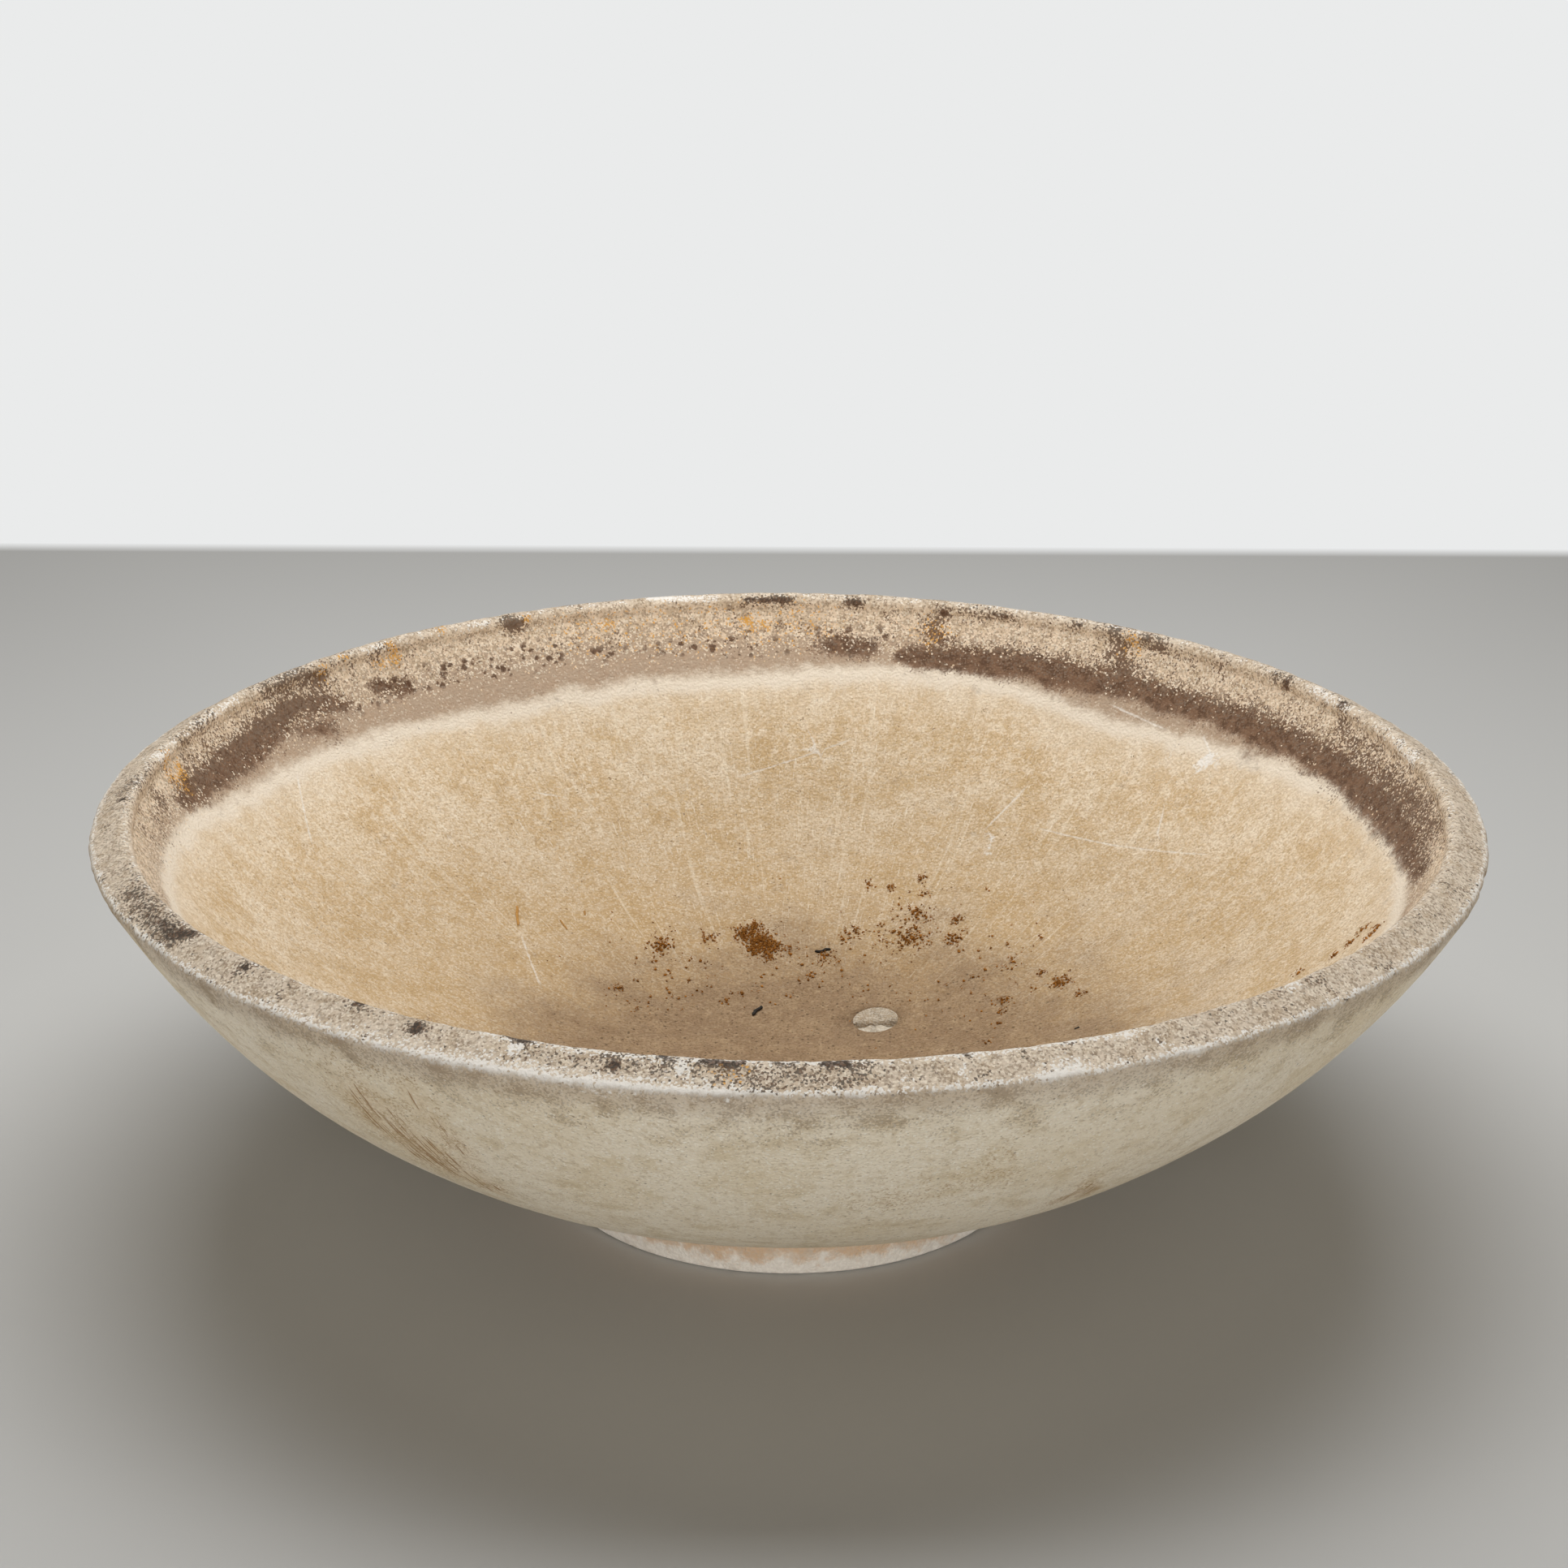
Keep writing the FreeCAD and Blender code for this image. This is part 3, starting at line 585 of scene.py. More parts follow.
def spots(tree, place, spacing, radius, share):
    """Scattered round spots with rough edges: a share of the cells has one, of any size up to that radius."""
    noise = add_node(tree, "TexNoise", {"Vector": place, "Scale": 1.5 / radius, "Detail": 2.0}, "Color")
    jitter = add_node(tree, "VectorMath", {0: noise, 1: (radius,) * 3}, operation="MULTIPLY")
    moved = add_node(tree, "VectorMath", {0: place, 1: jitter}, operation="ADD")
    distance = add_node(tree, "TexVoronoi", {"Vector": moved, "Scale": 1 / spacing}, "Distance")
    chance = add_node(tree, "SeparateColor", {0: distance.node.outputs["Color"]})
    reach = add_node(tree, "MapRange", {0: chance, 1: 0.0, 2: share, 3: radius / spacing, 4: 0.0})
    depth = add_node(tree, "Math", {0: reach, 1: distance}, operation="SUBTRACT")
    return add_node(tree, "MapRange", {0: depth, 1: 0.0, 2: 0.25 * radius / spacing})


def speckled(tree, cover, chance):
    """A grainy mask: a grain is on where the cover, the share of grains wanted, is more than its chance."""
    over = add_node(tree, "Math", {0: cover, 1: chance}, operation="SUBTRACT")
    return add_node(tree, "MapRange", {0: over, 1: 0.0, 2: 0.08})


def new_material(name):
    """A material with its node tree, Principled shader and Object coordinates."""
    material = bpy.data.materials.new(name)
    material.use_nodes = True
    tree = material.node_tree
    shader = tree.nodes["Principled BSDF"]
    shader.inputs["Specular IOR Level"].default_value = 0.25
    return material, tree, shader, add_node(tree, "TexCoord", output="Object")


def finish_surface(tree, shader, colour, relief, depth, roughness):
    """Links colour and a bump of that depth to the shader, with one even roughness."""
    shader.inputs["Roughness"].default_value = roughness
    tree.links.new(colour, shader.inputs["Base Color"])
    bump = add_node(tree, "Bump", {"Height": relief, "Distance": depth, "Strength": 1.0})
    tree.links.new(bump, shader.inputs["Normal"])


class StoneNodes:
    """Sockets that the faces of the stone share, all in one node tree.

    wrap is the place round the rim, with the way along the section from the lip as its Z, and drips is the
    same drawn out down the slope. Of the marks, over_soil is the way up from the soil line, scratch_aside the
    distance to the side of a scratch, and the rest are strengths of about 0 to 1. Each grain of sand has
    three chances of its own.
    """

    def __init__(self, tree, place, arris):
        self.tree, self.place = tree, place
        self.wrap = add_node(tree, "Attribute", output="Vector", attribute_name="wrap")
        self.along = add_node(tree, "SeparateXYZ", {0: self.wrap}, "Z")
        self.marks = {
            key: add_node(tree, "Attribute", output="Fac", attribute_name=key)
            for key in (*STONE_CHAINS, "over_soil", "silt", "scratch_aside", "scratch_near")
        }
        self.drips = add_node(tree, "Mapping", {"Vector": self.wrap, "Scale": (1.0, 1.0, DRIP_SQUEEZE)})
        self.below = add_node(tree, "Math", {0: arris, 1: self.along}, operation="SUBTRACT")
        self.inner_side = add_node(tree, "MapRange", {0: self.along, 1: -7 * MM, 2: MM})
        grain = add_node(tree, "TexVoronoi", {"Vector": place, "Scale": 1 / GRAIN}, "Distance")
        self.chances = add_node(tree, "SeparateColor", {0: grain.node.outputs["Color"]}).node.outputs
        self.fine = mottle(tree, place, 2.5 * MM, 0.35, 0.65)


def inner_face(nodes, finish):
    """The inner face: sandy, with soft mottles and thin pale fibres here and there down the slope.

    Silt lies over the floor. At the soil line comes a halo of lime, and above it a washed band and algae.
    """
    tree, place, drips, fine, marks = nodes.tree, nodes.place, nodes.drips, nodes.fine, nodes.marks
    first, second, third = nodes.chances
    fibres = add_node(tree, "Mapping", {"Vector": nodes.wrap, "Scale": (1.0, 1.0, FIBRE_SQUEEZE)})
    dark_sand = speckled(tree, 0.25, third)
    strokes = mottle(tree, fibres, 2.2 * MM, 0.64, 0.72, 2.0)
    deeper = add_node(tree, "MapRange", {0: nodes.along, 1: 160 * MM, 2: 420 * MM})
    felt = paint(tree, finish.felt_dark, (
        (mottle(tree, place, 80 * MM, 0.36, 0.66, 3.0), finish.felt_light, 0.6),
        (mottle(tree, place, 9 * MM, 0.46, 0.6, 5.0), finish.felt_light, 0.6),
        (mottle(tree, place, 30 * MM, 0.46, 0.66, 5.0), linear("#C6A778"), 0.5),
        (deeper, linear("#B19061"), 0.65),
        (mottle(tree, place, 5 * MM, 0.5, 0.62), linear("#BD9D6E"), 0.35),
        (fine, linear("#BE9F74"), 0.3),
        (speckled(tree, 0.3, second), linear("#F6EBD6"), 0.3),
        (dark_sand, linear("#B2936A"), 0.4),
        (strokes, linear("#FBF2E2"), 0.5),
        (mottle(tree, drips, 6 * MM, 0.57, 0.75), linear("#F6EAD4"), 0.35),
        (spots(tree, place, 7 * MM, 1.1 * MM, 0.5), linear("#6B563F"), 0.6),
    ))
    mud = paint(tree, finish.silt, (
        (mottle(tree, place, 24 * MM, 0.4, 0.66, 5.0), linear("#AF9575"), 0.6),
        (mottle(tree, place, 7 * MM, 0.5, 0.68, 4.0), linear("#BBA281"), 0.5),
        (fine, linear("#775F46"), 0.45),
        (dark_sand, linear("#745C42"), 0.5),
        (strokes, linear("#C2AB8C"), 0.6),
        (spots(tree, place, 4.5 * MM, 1.6 * MM, 0.85), linear("#503B28"), 0.85),
    ))
    gap = paint(tree, finish.bleached, (
        (mottle(tree, place, 14 * MM, 0.4, 0.68, 4.0), linear("#B59C83"), 0.6),
        (speckled(tree, 0.25, second), linear("#A98F77"), 0.5),
        (speckled(tree, 0.15, first), linear("#D9CBB8"), 0.5),
    ))
    growth = paint(tree, finish.algae, (
        (mottle(tree, place, 9 * MM, 0.38, 0.62, 4.0), finish.algae_deep, 0.85),
        (speckled(tree, 0.25, second), linear("#8D7058"), 0.5),
    ))
    wave = add_node(tree, "TexNoise", {"Vector": place, "Scale": 1 / (32 * MM), "Detail": 3.0})
    wave = add_node(tree, "Math", {0: wave, 1: 20 * MM, 2: -10 * MM}, operation="MULTIPLY_ADD")
    over = add_node(tree, "Math", {0: marks["over_soil"], 1: wave}, operation="ADD")
    algae = marks["algae"]
    return paint(tree, felt, (
        (frayed(tree, marks["silt"], place, 80 * MM, 1.0, 0.1, 0.9), mud, 0.9),
        (frayed(tree, over, drips, 8 * MM, 50 * MM, -60 * MM, 0.0), finish.halo, 0.35),
        (frayed(tree, over, place, 7 * MM, 14 * MM, -17 * MM, -3 * MM), finish.halo, 0.85),
        (frayed(tree, over, place, 6 * MM, 16 * MM, -MM, 14 * MM), gap, 1.0),
        (frayed(tree, algae, place, 24 * MM, 1.4, 0.12, 0.65), growth, 0.9),
        (speckled(tree, frayed(tree, algae, place, 20 * MM, 0.9, 0.0, 0.8), third), growth, 0.6),
    ))


def outer_face(nodes, finish):
    """The outer face: washed pale, with clouds, grains, rusty drips and patches of dirt under the arris, and
    just under the arris a grey band of dirt and painted shade.
    """
    tree, place, drips, below, rust = nodes.tree, nodes.place, nodes.drips, nodes.below, nodes.marks["rust"]
    first, second, third = nodes.chances
    # A grey band just under the arris: dirt, and painted shade where the rim overhangs
    dirt_and_shade_band = frayed(tree, below, place, 22 * MM, 30 * MM, 40 * MM, 4 * MM)
    dirty = frayed(tree, below, place, 34 * MM, 70 * MM, 90 * MM, 0.0)
    patches = mottle(tree, place, 30 * MM, 0.4, 0.78, 6.0)
    dirty = add_node(tree, "Math", {0: dirty, 1: patches}, operation="MULTIPLY")
    dirt_and_shade_grains = add_node(tree, "Math", {0: dirt_and_shade_band, 1: 0.25, 2: dirty}, operation="MULTIPLY_ADD")
    stains = mottle(tree, place, 26 * MM, 0.42, 0.6, 5.0)
    stains = add_node(tree, "Math", {0: stains, 1: rust}, operation="MULTIPLY")
    rusty = add_node(tree, "MapRange", {0: rust, 1: 0.3, 2: 0.6})
    return paint(tree, finish.wall, (
        (mottle(tree, place, 120 * MM, 0.4, 0.7, 5.0), finish.wall_warm, 0.6),
        (mottle(tree, place, 30 * MM, 0.48, 0.7, 5.0), linear("#D3BF9B"), 0.5),
        (mottle(tree, drips, 14 * MM, 0.55, 0.8), linear("#D0C0A2"), 0.35),
        (mottle(tree, place, 8 * MM, 0.5, 0.72, 4.0), linear("#C8B391"), 0.5),
        (speckled(tree, 0.14, first), linear("#AC967A"), 0.35),
        (speckled(tree, 0.12, third), linear("#FBF6EA"), 0.5),
        # The band under the arris: dirt and painted shade
        (dirt_and_shade_band, finish.wall_dirt_and_shade, 0.45),
        (dirty, finish.wall_dirt_and_shade, 0.22),
        (speckled(tree, dirt_and_shade_grains, second), linear("#7C6A57"), 0.36),
        (rusty, linear("#D8B482"), 0.15),
        (speckled(tree, stains, second), linear("#A9854F"), 0.45),
        (frayed(tree, rusty, drips, 3 * MM, 2.4, 1.06, 1.24), finish.rust, 0.85),
        (spots(tree, place, 6 * MM, 1.3 * MM, 0.35), linear("#7B6C59"), 0.65),
    ))


def rim_crust(nodes, finish, dark):
    """The rim's crust of grains, warmer inside, with dark, ochre and white ones."""
    tree, place, marks, inner_side = nodes.tree, nodes.place, nodes.marks, nodes.inner_side
    first, second, third = nodes.chances
    patchy = mottle(tree, place, 22 * MM, 0.44, 0.72, 4.0)
    black = add_node(tree, "Math", {0: patchy, 1: 0.3, 2: marks["grime"]}, operation="MULTIPLY_ADD")
    black = add_node(tree, "Math", {0: marks["algae"], 1: 1.05, 2: black}, operation="MULTIPLY_ADD")
    from_arris = add_node(tree, "Math", {0: nodes.below}, operation="ABSOLUTE")
    at_arris = frayed(tree, from_arris, place, 16 * MM, 16 * MM, 6 * MM, 0.0)
    white = add_node(tree, "Math", {0: at_arris, 1: 0.65, 2: marks["lime"]}, operation="MULTIPLY_ADD")
    at_crest = add_node(tree, "Math", {0: nodes.along, 1: 10 * MM}, operation="ADD")
    at_crest = add_node(tree, "Math", {0: at_crest}, operation="ABSOLUTE")
    at_crest = frayed(tree, at_crest, place, 25 * MM, 20 * MM, 6 * MM, 0.0)
    white = add_node(tree, "Math", {0: at_crest, 1: 0.15, 2: white}, operation="MULTIPLY_ADD")
    yellow = add_node(tree, "Math", {0: inner_side, 1: 0.03, 2: marks["ochre"]}, operation="MULTIPLY_ADD")
    return paint(tree, finish.crust, (
        (inner_side, finish.crust_warm, 0.95),
        (mottle(tree, place, 14 * MM, 0.42, 0.68, 4.0), linear("#AD9474"), 0.5),
        (mottle(tree, place, 5 * MM, 0.52, 0.64), linear("#8A765F"), 0.5),
        (speckled(tree, 0.3, second), linear("#806C56"), 0.55),
        (speckled(tree, 0.28, first), linear("#F6EBD8"), 0.5),
        (speckled(tree, yellow, first), finish.lichen, 0.85),
        (speckled(tree, black, third), dark, 0.85),
        (speckled(tree, white, second), finish.lime, 0.95),
    ))


def weathered_stone(finish, arris):
    """Cement cast with fibres in a mould: matt and granular.

    It is felted inside, crusted on the rim and washed pale outside. arris is the way along the section from
    the lip to the rim's outer edge.
    """
    material, tree, shader, place = new_material("weathered_fibre_cement")
    nodes = StoneNodes(tree, place, arris)
    marks, inner_side = nodes.marks, nodes.inner_side
    first, second, _ = nodes.chances
    dark = paint(tree, finish.soot, (
        (inner_side, finish.algae_deep, 1.0),
        (speckled(tree, 0.4, second), finish.algae, 0.6),
    ))
    on_rim = frayed(tree, nodes.along, place, 10 * MM, 12 * MM, arris - 6 * MM, arris + MM)
    off_rim = frayed(tree, nodes.along, place, 18 * MM, 40 * MM, 65 * MM, 12 * MM)
    off_rim = speckled(tree, off_rim, first)
    crusted = add_node(tree, "Math", {0: on_rim, 1: off_rim}, operation="MULTIPLY")
    dots = add_node(tree, "MapRange", {0: marks["dotted"], 1: 0.12, 2: 0.45})
    lichen = spots(tree, place, 6 * MM, 4.5 * MM, 0.7)
    dots = add_node(tree, "Math", {0: dots, 1: lichen}, operation="MULTIPLY")
    line = add_node(tree, "Math", {0: marks["scratch_aside"]}, operation="ABSOLUTE")
    line = frayed(tree, line, place, 6 * MM, 4 * MM, 1.6 * MM, 0.0)
    line = add_node(tree, "Math", {0: line, 1: marks["scratch_near"]}, operation="MULTIPLY")
    colour = paint(tree, outer_face(nodes, finish), (
        (inner_side, inner_face(nodes, finish), 1.0),
        (crusted, rim_crust(nodes, finish, dark), 0.95),
        (dots, dark, 0.9),
        (frayed(tree, marks["grime"], place, 5 * MM, 1.0, 0.5, 0.75), dark, 0.9),
        (frayed(tree, marks["lime"], place, 4 * MM, 1.4, 0.6, 0.9), finish.lime, 0.9),
        (line, finish.lime, 0.65),
    ))

    # Relief: each grain of the crust stands at its own height, and a fine grain lies all over
    raised = add_node(tree, "Math", {0: second, 1: crusted}, operation="MULTIPLY")
    relief = add_node(tree, "Math", {0: raised, 1: 1.6, 2: nodes.fine}, operation="MULTIPLY_ADD")
    finish_surface(tree, shader, colour, relief, 0.45 * MM, 0.92)
    return material


def foot_stone(finish):
    """The same cement cast as a ring: smoother and whiter, stained in clouds, with pinholes left by air
    painted as dark spots, a painted shade of holes that the mesh doesn't have.
    """
    material, tree, shader, place = new_material("cast_cement_foot")
    fine = mottle(tree, place, 2.5 * MM, 0.35, 0.65)
    high = add_node(tree, "SeparateXYZ", {0: place}, "Z")
    colour = paint(tree, finish.foot, (
        (frayed(tree, high, place, 16 * MM, 60 * MM, 6 * MM, 22 * MM), finish.foot_stain, 0.7),
        (mottle(tree, place, 12 * MM, 0.5, 0.75, 4.0), linear("#C9BCAB"), 0.5),
        (fine, linear("#C9BEB0"), 0.3),
        # Pinholes: dark spots of painted shade, as the mesh has no holes there
        (spots(tree, place, 14 * MM, 1.6 * MM, 0.5), linear("#7D6B58"), 0.8),
    ))
    finish_surface(tree, shader, colour, fine, 0.4 * MM, 0.9)
    return material


def bedding_mortar(finish, name, ground, stain):
    """Cement mortar struck off by hand: pale, sandy and rough, stained where water runs."""
    material, tree, shader, place = new_material(name)
    sand = mottle(tree, place, 2 * MM, 0.35, 0.65, 4.0)
    colour = paint(tree, ground, (
        (mottle(tree, place, 30 * MM, 0.4, 0.65, 4.0), finish.foot_stain, stain),
        (mottle(tree, place, 6 * MM, 0.46, 0.64, 4.0), linear("#8D7B65"), 0.55),
        (sand, linear("#E8E0D2"), 0.5),
        (spots(tree, place, 9 * MM, 1.2 * MM, 0.4), linear("#6F614F"), 0.7),
    ))
    finish_surface(tree, shader, colour, sand, 0.8 * MM, 0.95)
    return material


def debris_material(name, colour, dark, light):
    """Dry plant matter: matt, each bit of the shade that its attribute holds. Its raised fibres get a painted
    highlight, so its hollows stay dark as painted shade.
    """
    material, tree, shader, place = new_material(name)
    shade = add_node(tree, "Attribute", output="Fac", attribute_name="shade")
    fibre = mottle(tree, place, 1.2 * MM, 0.35, 0.65)
    # The light coat lies on the raised fibres of the bump: a painted highlight, leaving painted shade in the
    # hollows
    painted = paint(tree, colour, ((shade, dark, 0.9), (fibre, light, 0.35)))
    finish_surface(tree, shader, painted, fibre, 0.3 * MM, 0.85)
    return material


def even_angles(columns):
    """Evenly spaced angles of a full turn."""
    return np.arange(columns) * TURN / columns


def bearings(columns):
    """Unit vectors (cos, sin) at even angles round the axis."""
    angle = even_angles(columns)
    return np.stack([np.cos(angle), np.sin(angle)], axis=-1)


def ring_grid(section_points, columns):
    """A section turned about the axis: one row of the grid for each of its points."""
    heights = np.repeat(section_points[:, 1:], columns, axis=1)
    return np.dstack([section_points[:, :1, None] * bearings(columns), heights])


def bowl_grid(section):
    """The bowl as a grid closed both ways: columns run round it, and rows run round its section.

    Rows start at the drain hole's lower edge. Rings of the underside and the floor are circles whose centre
    and radius pass evenly from the hole's to the patch circle's, set at the section's height. Between them
    the section is turned about the axis, and the last rows go down the hole.
    """
    shape = section.shape
    outward = np.linspace(0, 1, UNDER_ROWS, endpoint=False)
    inward = np.linspace(1, 0, FLOOR_ROWS + 1)[1:]
    share = np.concatenate([outward, inward])
    centre = (1 - share)[:, None] * np.array([shape.hole_x, shape.hole_y])
    radius = shape.hole_radius + share * (shape.patch_radius - shape.hole_radius)
    rings = centre[:, None, :] + radius[:, None, None] * bearings(shape.columns)
    reach = np.linalg.norm(rings, axis=-1)
    under = np.dstack([rings, section.under(reach)])[:UNDER_ROWS]
    floor = np.dstack([rings, section.floor(reach)])[UNDER_ROWS:]
    wall = ring_grid(section.revolved(shape.patch_radius), shape.columns)
    drop = (np.arange(HOLE_ROWS) + 1)[:, None, None] / (HOLE_ROWS + 1)
    hole = floor[-1] * (1 - drop) + under[0] * drop
    return np.concatenate([under, wall, floor, hole])


def way_along(points):
    """Way of each row along the section from the top of the lip: the mean steps between rows, added up."""
    steps = np.linalg.norm(np.diff(points, axis=0), axis=-1).mean(axis=1)
    along = np.concatenate([[0.0], np.cumsum(steps)])
    return along - along[UNDER_ROWS + WALL_ROWS + ARRIS_ROWS + TOP_ROWS + CREST_ROWS - 2]


def dents(points):
    """Unevenness of the hand-finished faces: noise of two sizes, times how far it stands out."""
    return 1.1 * MM * cloud(points, 280 * MM, 1) + 0.5 * MM * cloud(points, 100 * MM, 2)


# Ways along the section from the lip: where the crust begins, is full and ends, and the chipped arris
CRUST_START, CRUST_FULL, CRUST_END = -75 * MM, -45 * MM, 30 * MM
CHIPPED_ARRIS, CHIPPED_REACH = -44 * MM, 7 * MM


def bowl_relief(points, along, shape):
    """How far the cast face stands proud of the drawn one.

    Dents all over, but none at the foot and the drain hole; on the rim lumps of crust of two sizes; and on
    the arris chips where a third noise is high.
    """
    reach = np.hypot(points[..., 0], points[..., 1])
    from_hole = np.hypot(points[..., 0] - shape.hole_x, points[..., 1] - shape.hole_y)
    seated = np.where(along < 0, ease(reach, shape.foot_radius * 1.05, shape.foot_radius * 1.4), 1)
    free = seated * ease(from_hole, shape.hole_radius, shape.hole_radius * 2)
    rim = ease(along, CRUST_START, CRUST_FULL) * (1 - ease(along, 0, CRUST_END))
    arris = np.exp(-((along - CHIPPED_ARRIS) / CHIPPED_REACH) ** 2)
    crust = 0.6 * cloud(points, 18 * MM, 3) + 0.5 * cloud(points, 8 * MM, 4)
    chips = ease(cloud(points, 30 * MM, 5), 0.45, 0.9)
    return free * (dents(points) + MM * (rim * crust - 2.2 * arris * chips))


def scratched(points, section, view):
    """How far each point lies to the side of its nearest scratch, with a sign, and how near that scratch is.

    The side is square to the scratch and to the floor's normal at its middle, so the distance passes evenly
    through zero and a thin line stays crisp on a coarse grid. Nearness is e^−(distance / 8 mm)² to the line
    between its ends.
    """
    closest = np.full(points.shape[:-1], np.inf)
    aside = np.zeros(points.shape[:-1])
    starts = seen(section, view, [ends[0] for ends in SCRATCH_PIXELS])
    stops = seen(section, view, [ends[1] for ends in SCRATCH_PIXELS])
    sides = np.cross(stops - starts, section.floor_normal((starts + stops) / 2))
    sides = sides / np.linalg.norm(sides, axis=-1, keepdims=True)
    for start, stop, side in zip(starts, stops, sides):
        _, distance = nearest_on(points, start, stop)
        aside = np.where(distance < closest, (points - start) @ side, aside)
        closest = np.minimum(closest, distance)
    return aside, np.exp(-((closest / (8 * MM)) ** 2))


def soil_height(bearing, section, view, inner_rows, along):
    """Way along the section down to the soil line at each bearing, straight from mark to mark."""
    marks = seen(section, view, SOIL_LINE_PIXELS)
    mark_bearing = np.arctan2(marks[:, 1], marks[:, 0])
    mark_along = np.interp(marks[:, 2], inner_rows[::-1], along[::-1])
    order = np.argsort(mark_bearing)
    return np.interp(bearing, mark_bearing[order], mark_along[order], period=TURN)


def bake_map(mesh, along, columns):
    """A map for baking: the bowl cut into two halves, each unrolled flat, one above the other.

    Along a half, u is the share of its columns, and v is the share of the way round the section.
    """
    row = np.arange(len(along))[:, None, None]
    column = np.arange(columns)[None, :, None]
    half = 2 * column // columns
    way = np.append(along, along[-1] + along[-1] - along[-2])
    way = (way - way[0]) / (way[-1] - way[0])
    corner_row = row + np.array([0, 0, 1, 1])
    corner_column = column + np.array([0, 1, 1, 0])
    u = np.broadcast_to(2 * corner_column / columns - half, (len(along), columns, 4))
    v = (way[corner_row] + half) / 2
    margin = 0.002
    places = margin + (1 - 2 * margin) * np.stack([u, v], axis=-1)
    mesh.uv_layers.new(name="OFBake").data.foreach_set("uv", places.astype(np.float32).ravel())


# Silt lies thick round a place beside the axis, and thins out from one distance to the other
SILT_MIDDLE = (20 * MM, -50 * MM)
SILT_FULL, SILT_END = 130 * MM, 440 * MM


class PLANTER_OT_bowl(Operator):
    """Builds the bowl over its CAD node, with its growth, dirt and wear"""

    bl_idname = "planter.bowl"
    bl_label = "Bowl"

    def execute(self, context):
        shape, view = context.scene.planter_shape, context.scene.planter_view
        section = Section(shape)
        drawn = bowl_grid(section)
        along = way_along(drawn)
        lengths = np.broadcast_to(along[:, None], drawn.shape[:2])
        bearing = even_angles(shape.columns)
        points = drawn + grid_normals(drawn) * bowl_relief(drawn, lengths, shape)[..., None]
        hollow = slice(-FLOOR_ROWS - HOLE_ROWS - HOLLOW_ROWS, -FLOOR_ROWS - HOLE_ROWS)
        soil = soil_height(bearing, section, view, drawn[hollow, 0, 2], along[hollow])
        ring = np.broadcast_to(bearing, drawn.shape[:2])
        wrap = np.dstack([shape.rim_radius * np.cos(ring), shape.rim_radius * np.sin(ring), lengths])
        reach = np.linalg.norm(drawn[..., :2] - SILT_MIDDLE, axis=-1)
        inner = lengths > 0
        arris = along[UNDER_ROWS + WALL_ROWS + ARRIS_ROWS // 2]
        aside, near = scratched(drawn, section, view)
        piece = make_piece(
            "stone_bowl", points, grid_faces(*drawn.shape[:2], True).tolist(),
            weathered_stone(context.scene.planter_stone, float(arris)),
            wrap=wrap, over_soil=soil - lengths,
            **{key: marked(drawn, section, view, chains) for key, chains in STONE_CHAINS.items()},
            silt=np.where(inner, 1 - ease(reach, SILT_FULL, SILT_END), 0),
            scratch_aside=aside, scratch_near=np.where(inner, near, 0),
        )
        bake_map(piece.data, along, shape.columns)
        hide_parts("bowl_shell")
        return {"FINISHED"}


# Rows of the foot's grid: a rounded edge, the side, the seat, the bore and the sole; and of the bed's faces
# and edges
EDGE_ROWS, SIDE_ROWS, SEAT_ROWS, BORE_ROWS, SOLE_ROWS = 6, 10, 6, 6, 4
BED_ROWS, BED_EDGE_ROWS = 12, 3


def seat_height(section, radius):
    """Top of the foot: the underside's arc, larger by the bed's thickness about the same centre."""
    arc = section.wall_arc + section.shape.bed_thickness
    reach = radius - section.flat
    return section.base + section.wall_arc - np.sqrt(arc**2 - reach**2)


class PLANTER_OT_foot(Operator):
    """Builds the foot ring over its CAD node, with worn edges"""

    bl_idname = "planter.foot"
    bl_label = "Foot ring"

    def execute(self, context):
        shape = context.scene.planter_shape
        section = Section(shape)
        bottom, edge = shape.foot_radius - shape.foot_flare, shape.foot_round
        bore = bottom - shape.foot_width
        outer_edge = arc_points((bottom - edge, edge), edge, -math.pi / 2, 0, EDGE_ROWS)
        top_out = np.array([shape.foot_radius, seat_height(section, shape.foot_radius)])
        top_in = np.array([bore, seat_height(section, bore)])
        inner_edge = arc_points((bore + edge, edge), edge, -math.pi, -math.pi / 2, EDGE_ROWS)
        side = between(outer_edge[-1], top_out, SIDE_ROWS)
        seat = between(top_out, top_in, SEAT_ROWS)
        seat[:, 1] = seat_height(section, seat[:, 0])
        rows = np.concatenate([
            outer_edge, side, top_out[None], seat, top_in[None],
            between(top_in, inner_edge[0], BORE_ROWS), inner_edge,
            between(inner_edge[-1], outer_edge[0], SOLE_ROWS),
        ])
        drawn = ring_grid(rows, shape.columns // 2)
        standing = ease(drawn[..., 2], 0, 3 * MM) * (1 - ease(drawn[..., 2], top_in[1] - 4 * MM, top_in[1]))
        worn = 0.5 * cloud(drawn, 60 * MM, 11) + 0.35 * cloud(drawn, 9 * MM, 12)
        worn = worn - 2.0 * ease(cloud(drawn, 20 * MM, 13), 0.5, 0.9)
        points = drawn + grid_normals(drawn) * (MM * worn * standing)[..., None]
        faces = grid_faces(*drawn.shape[:2], True).tolist()
        piece = make_piece("stone_foot", points, faces, foot_stone(context.scene.planter_stone))
        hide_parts("foot_ring")
        return {"FINISHED"}


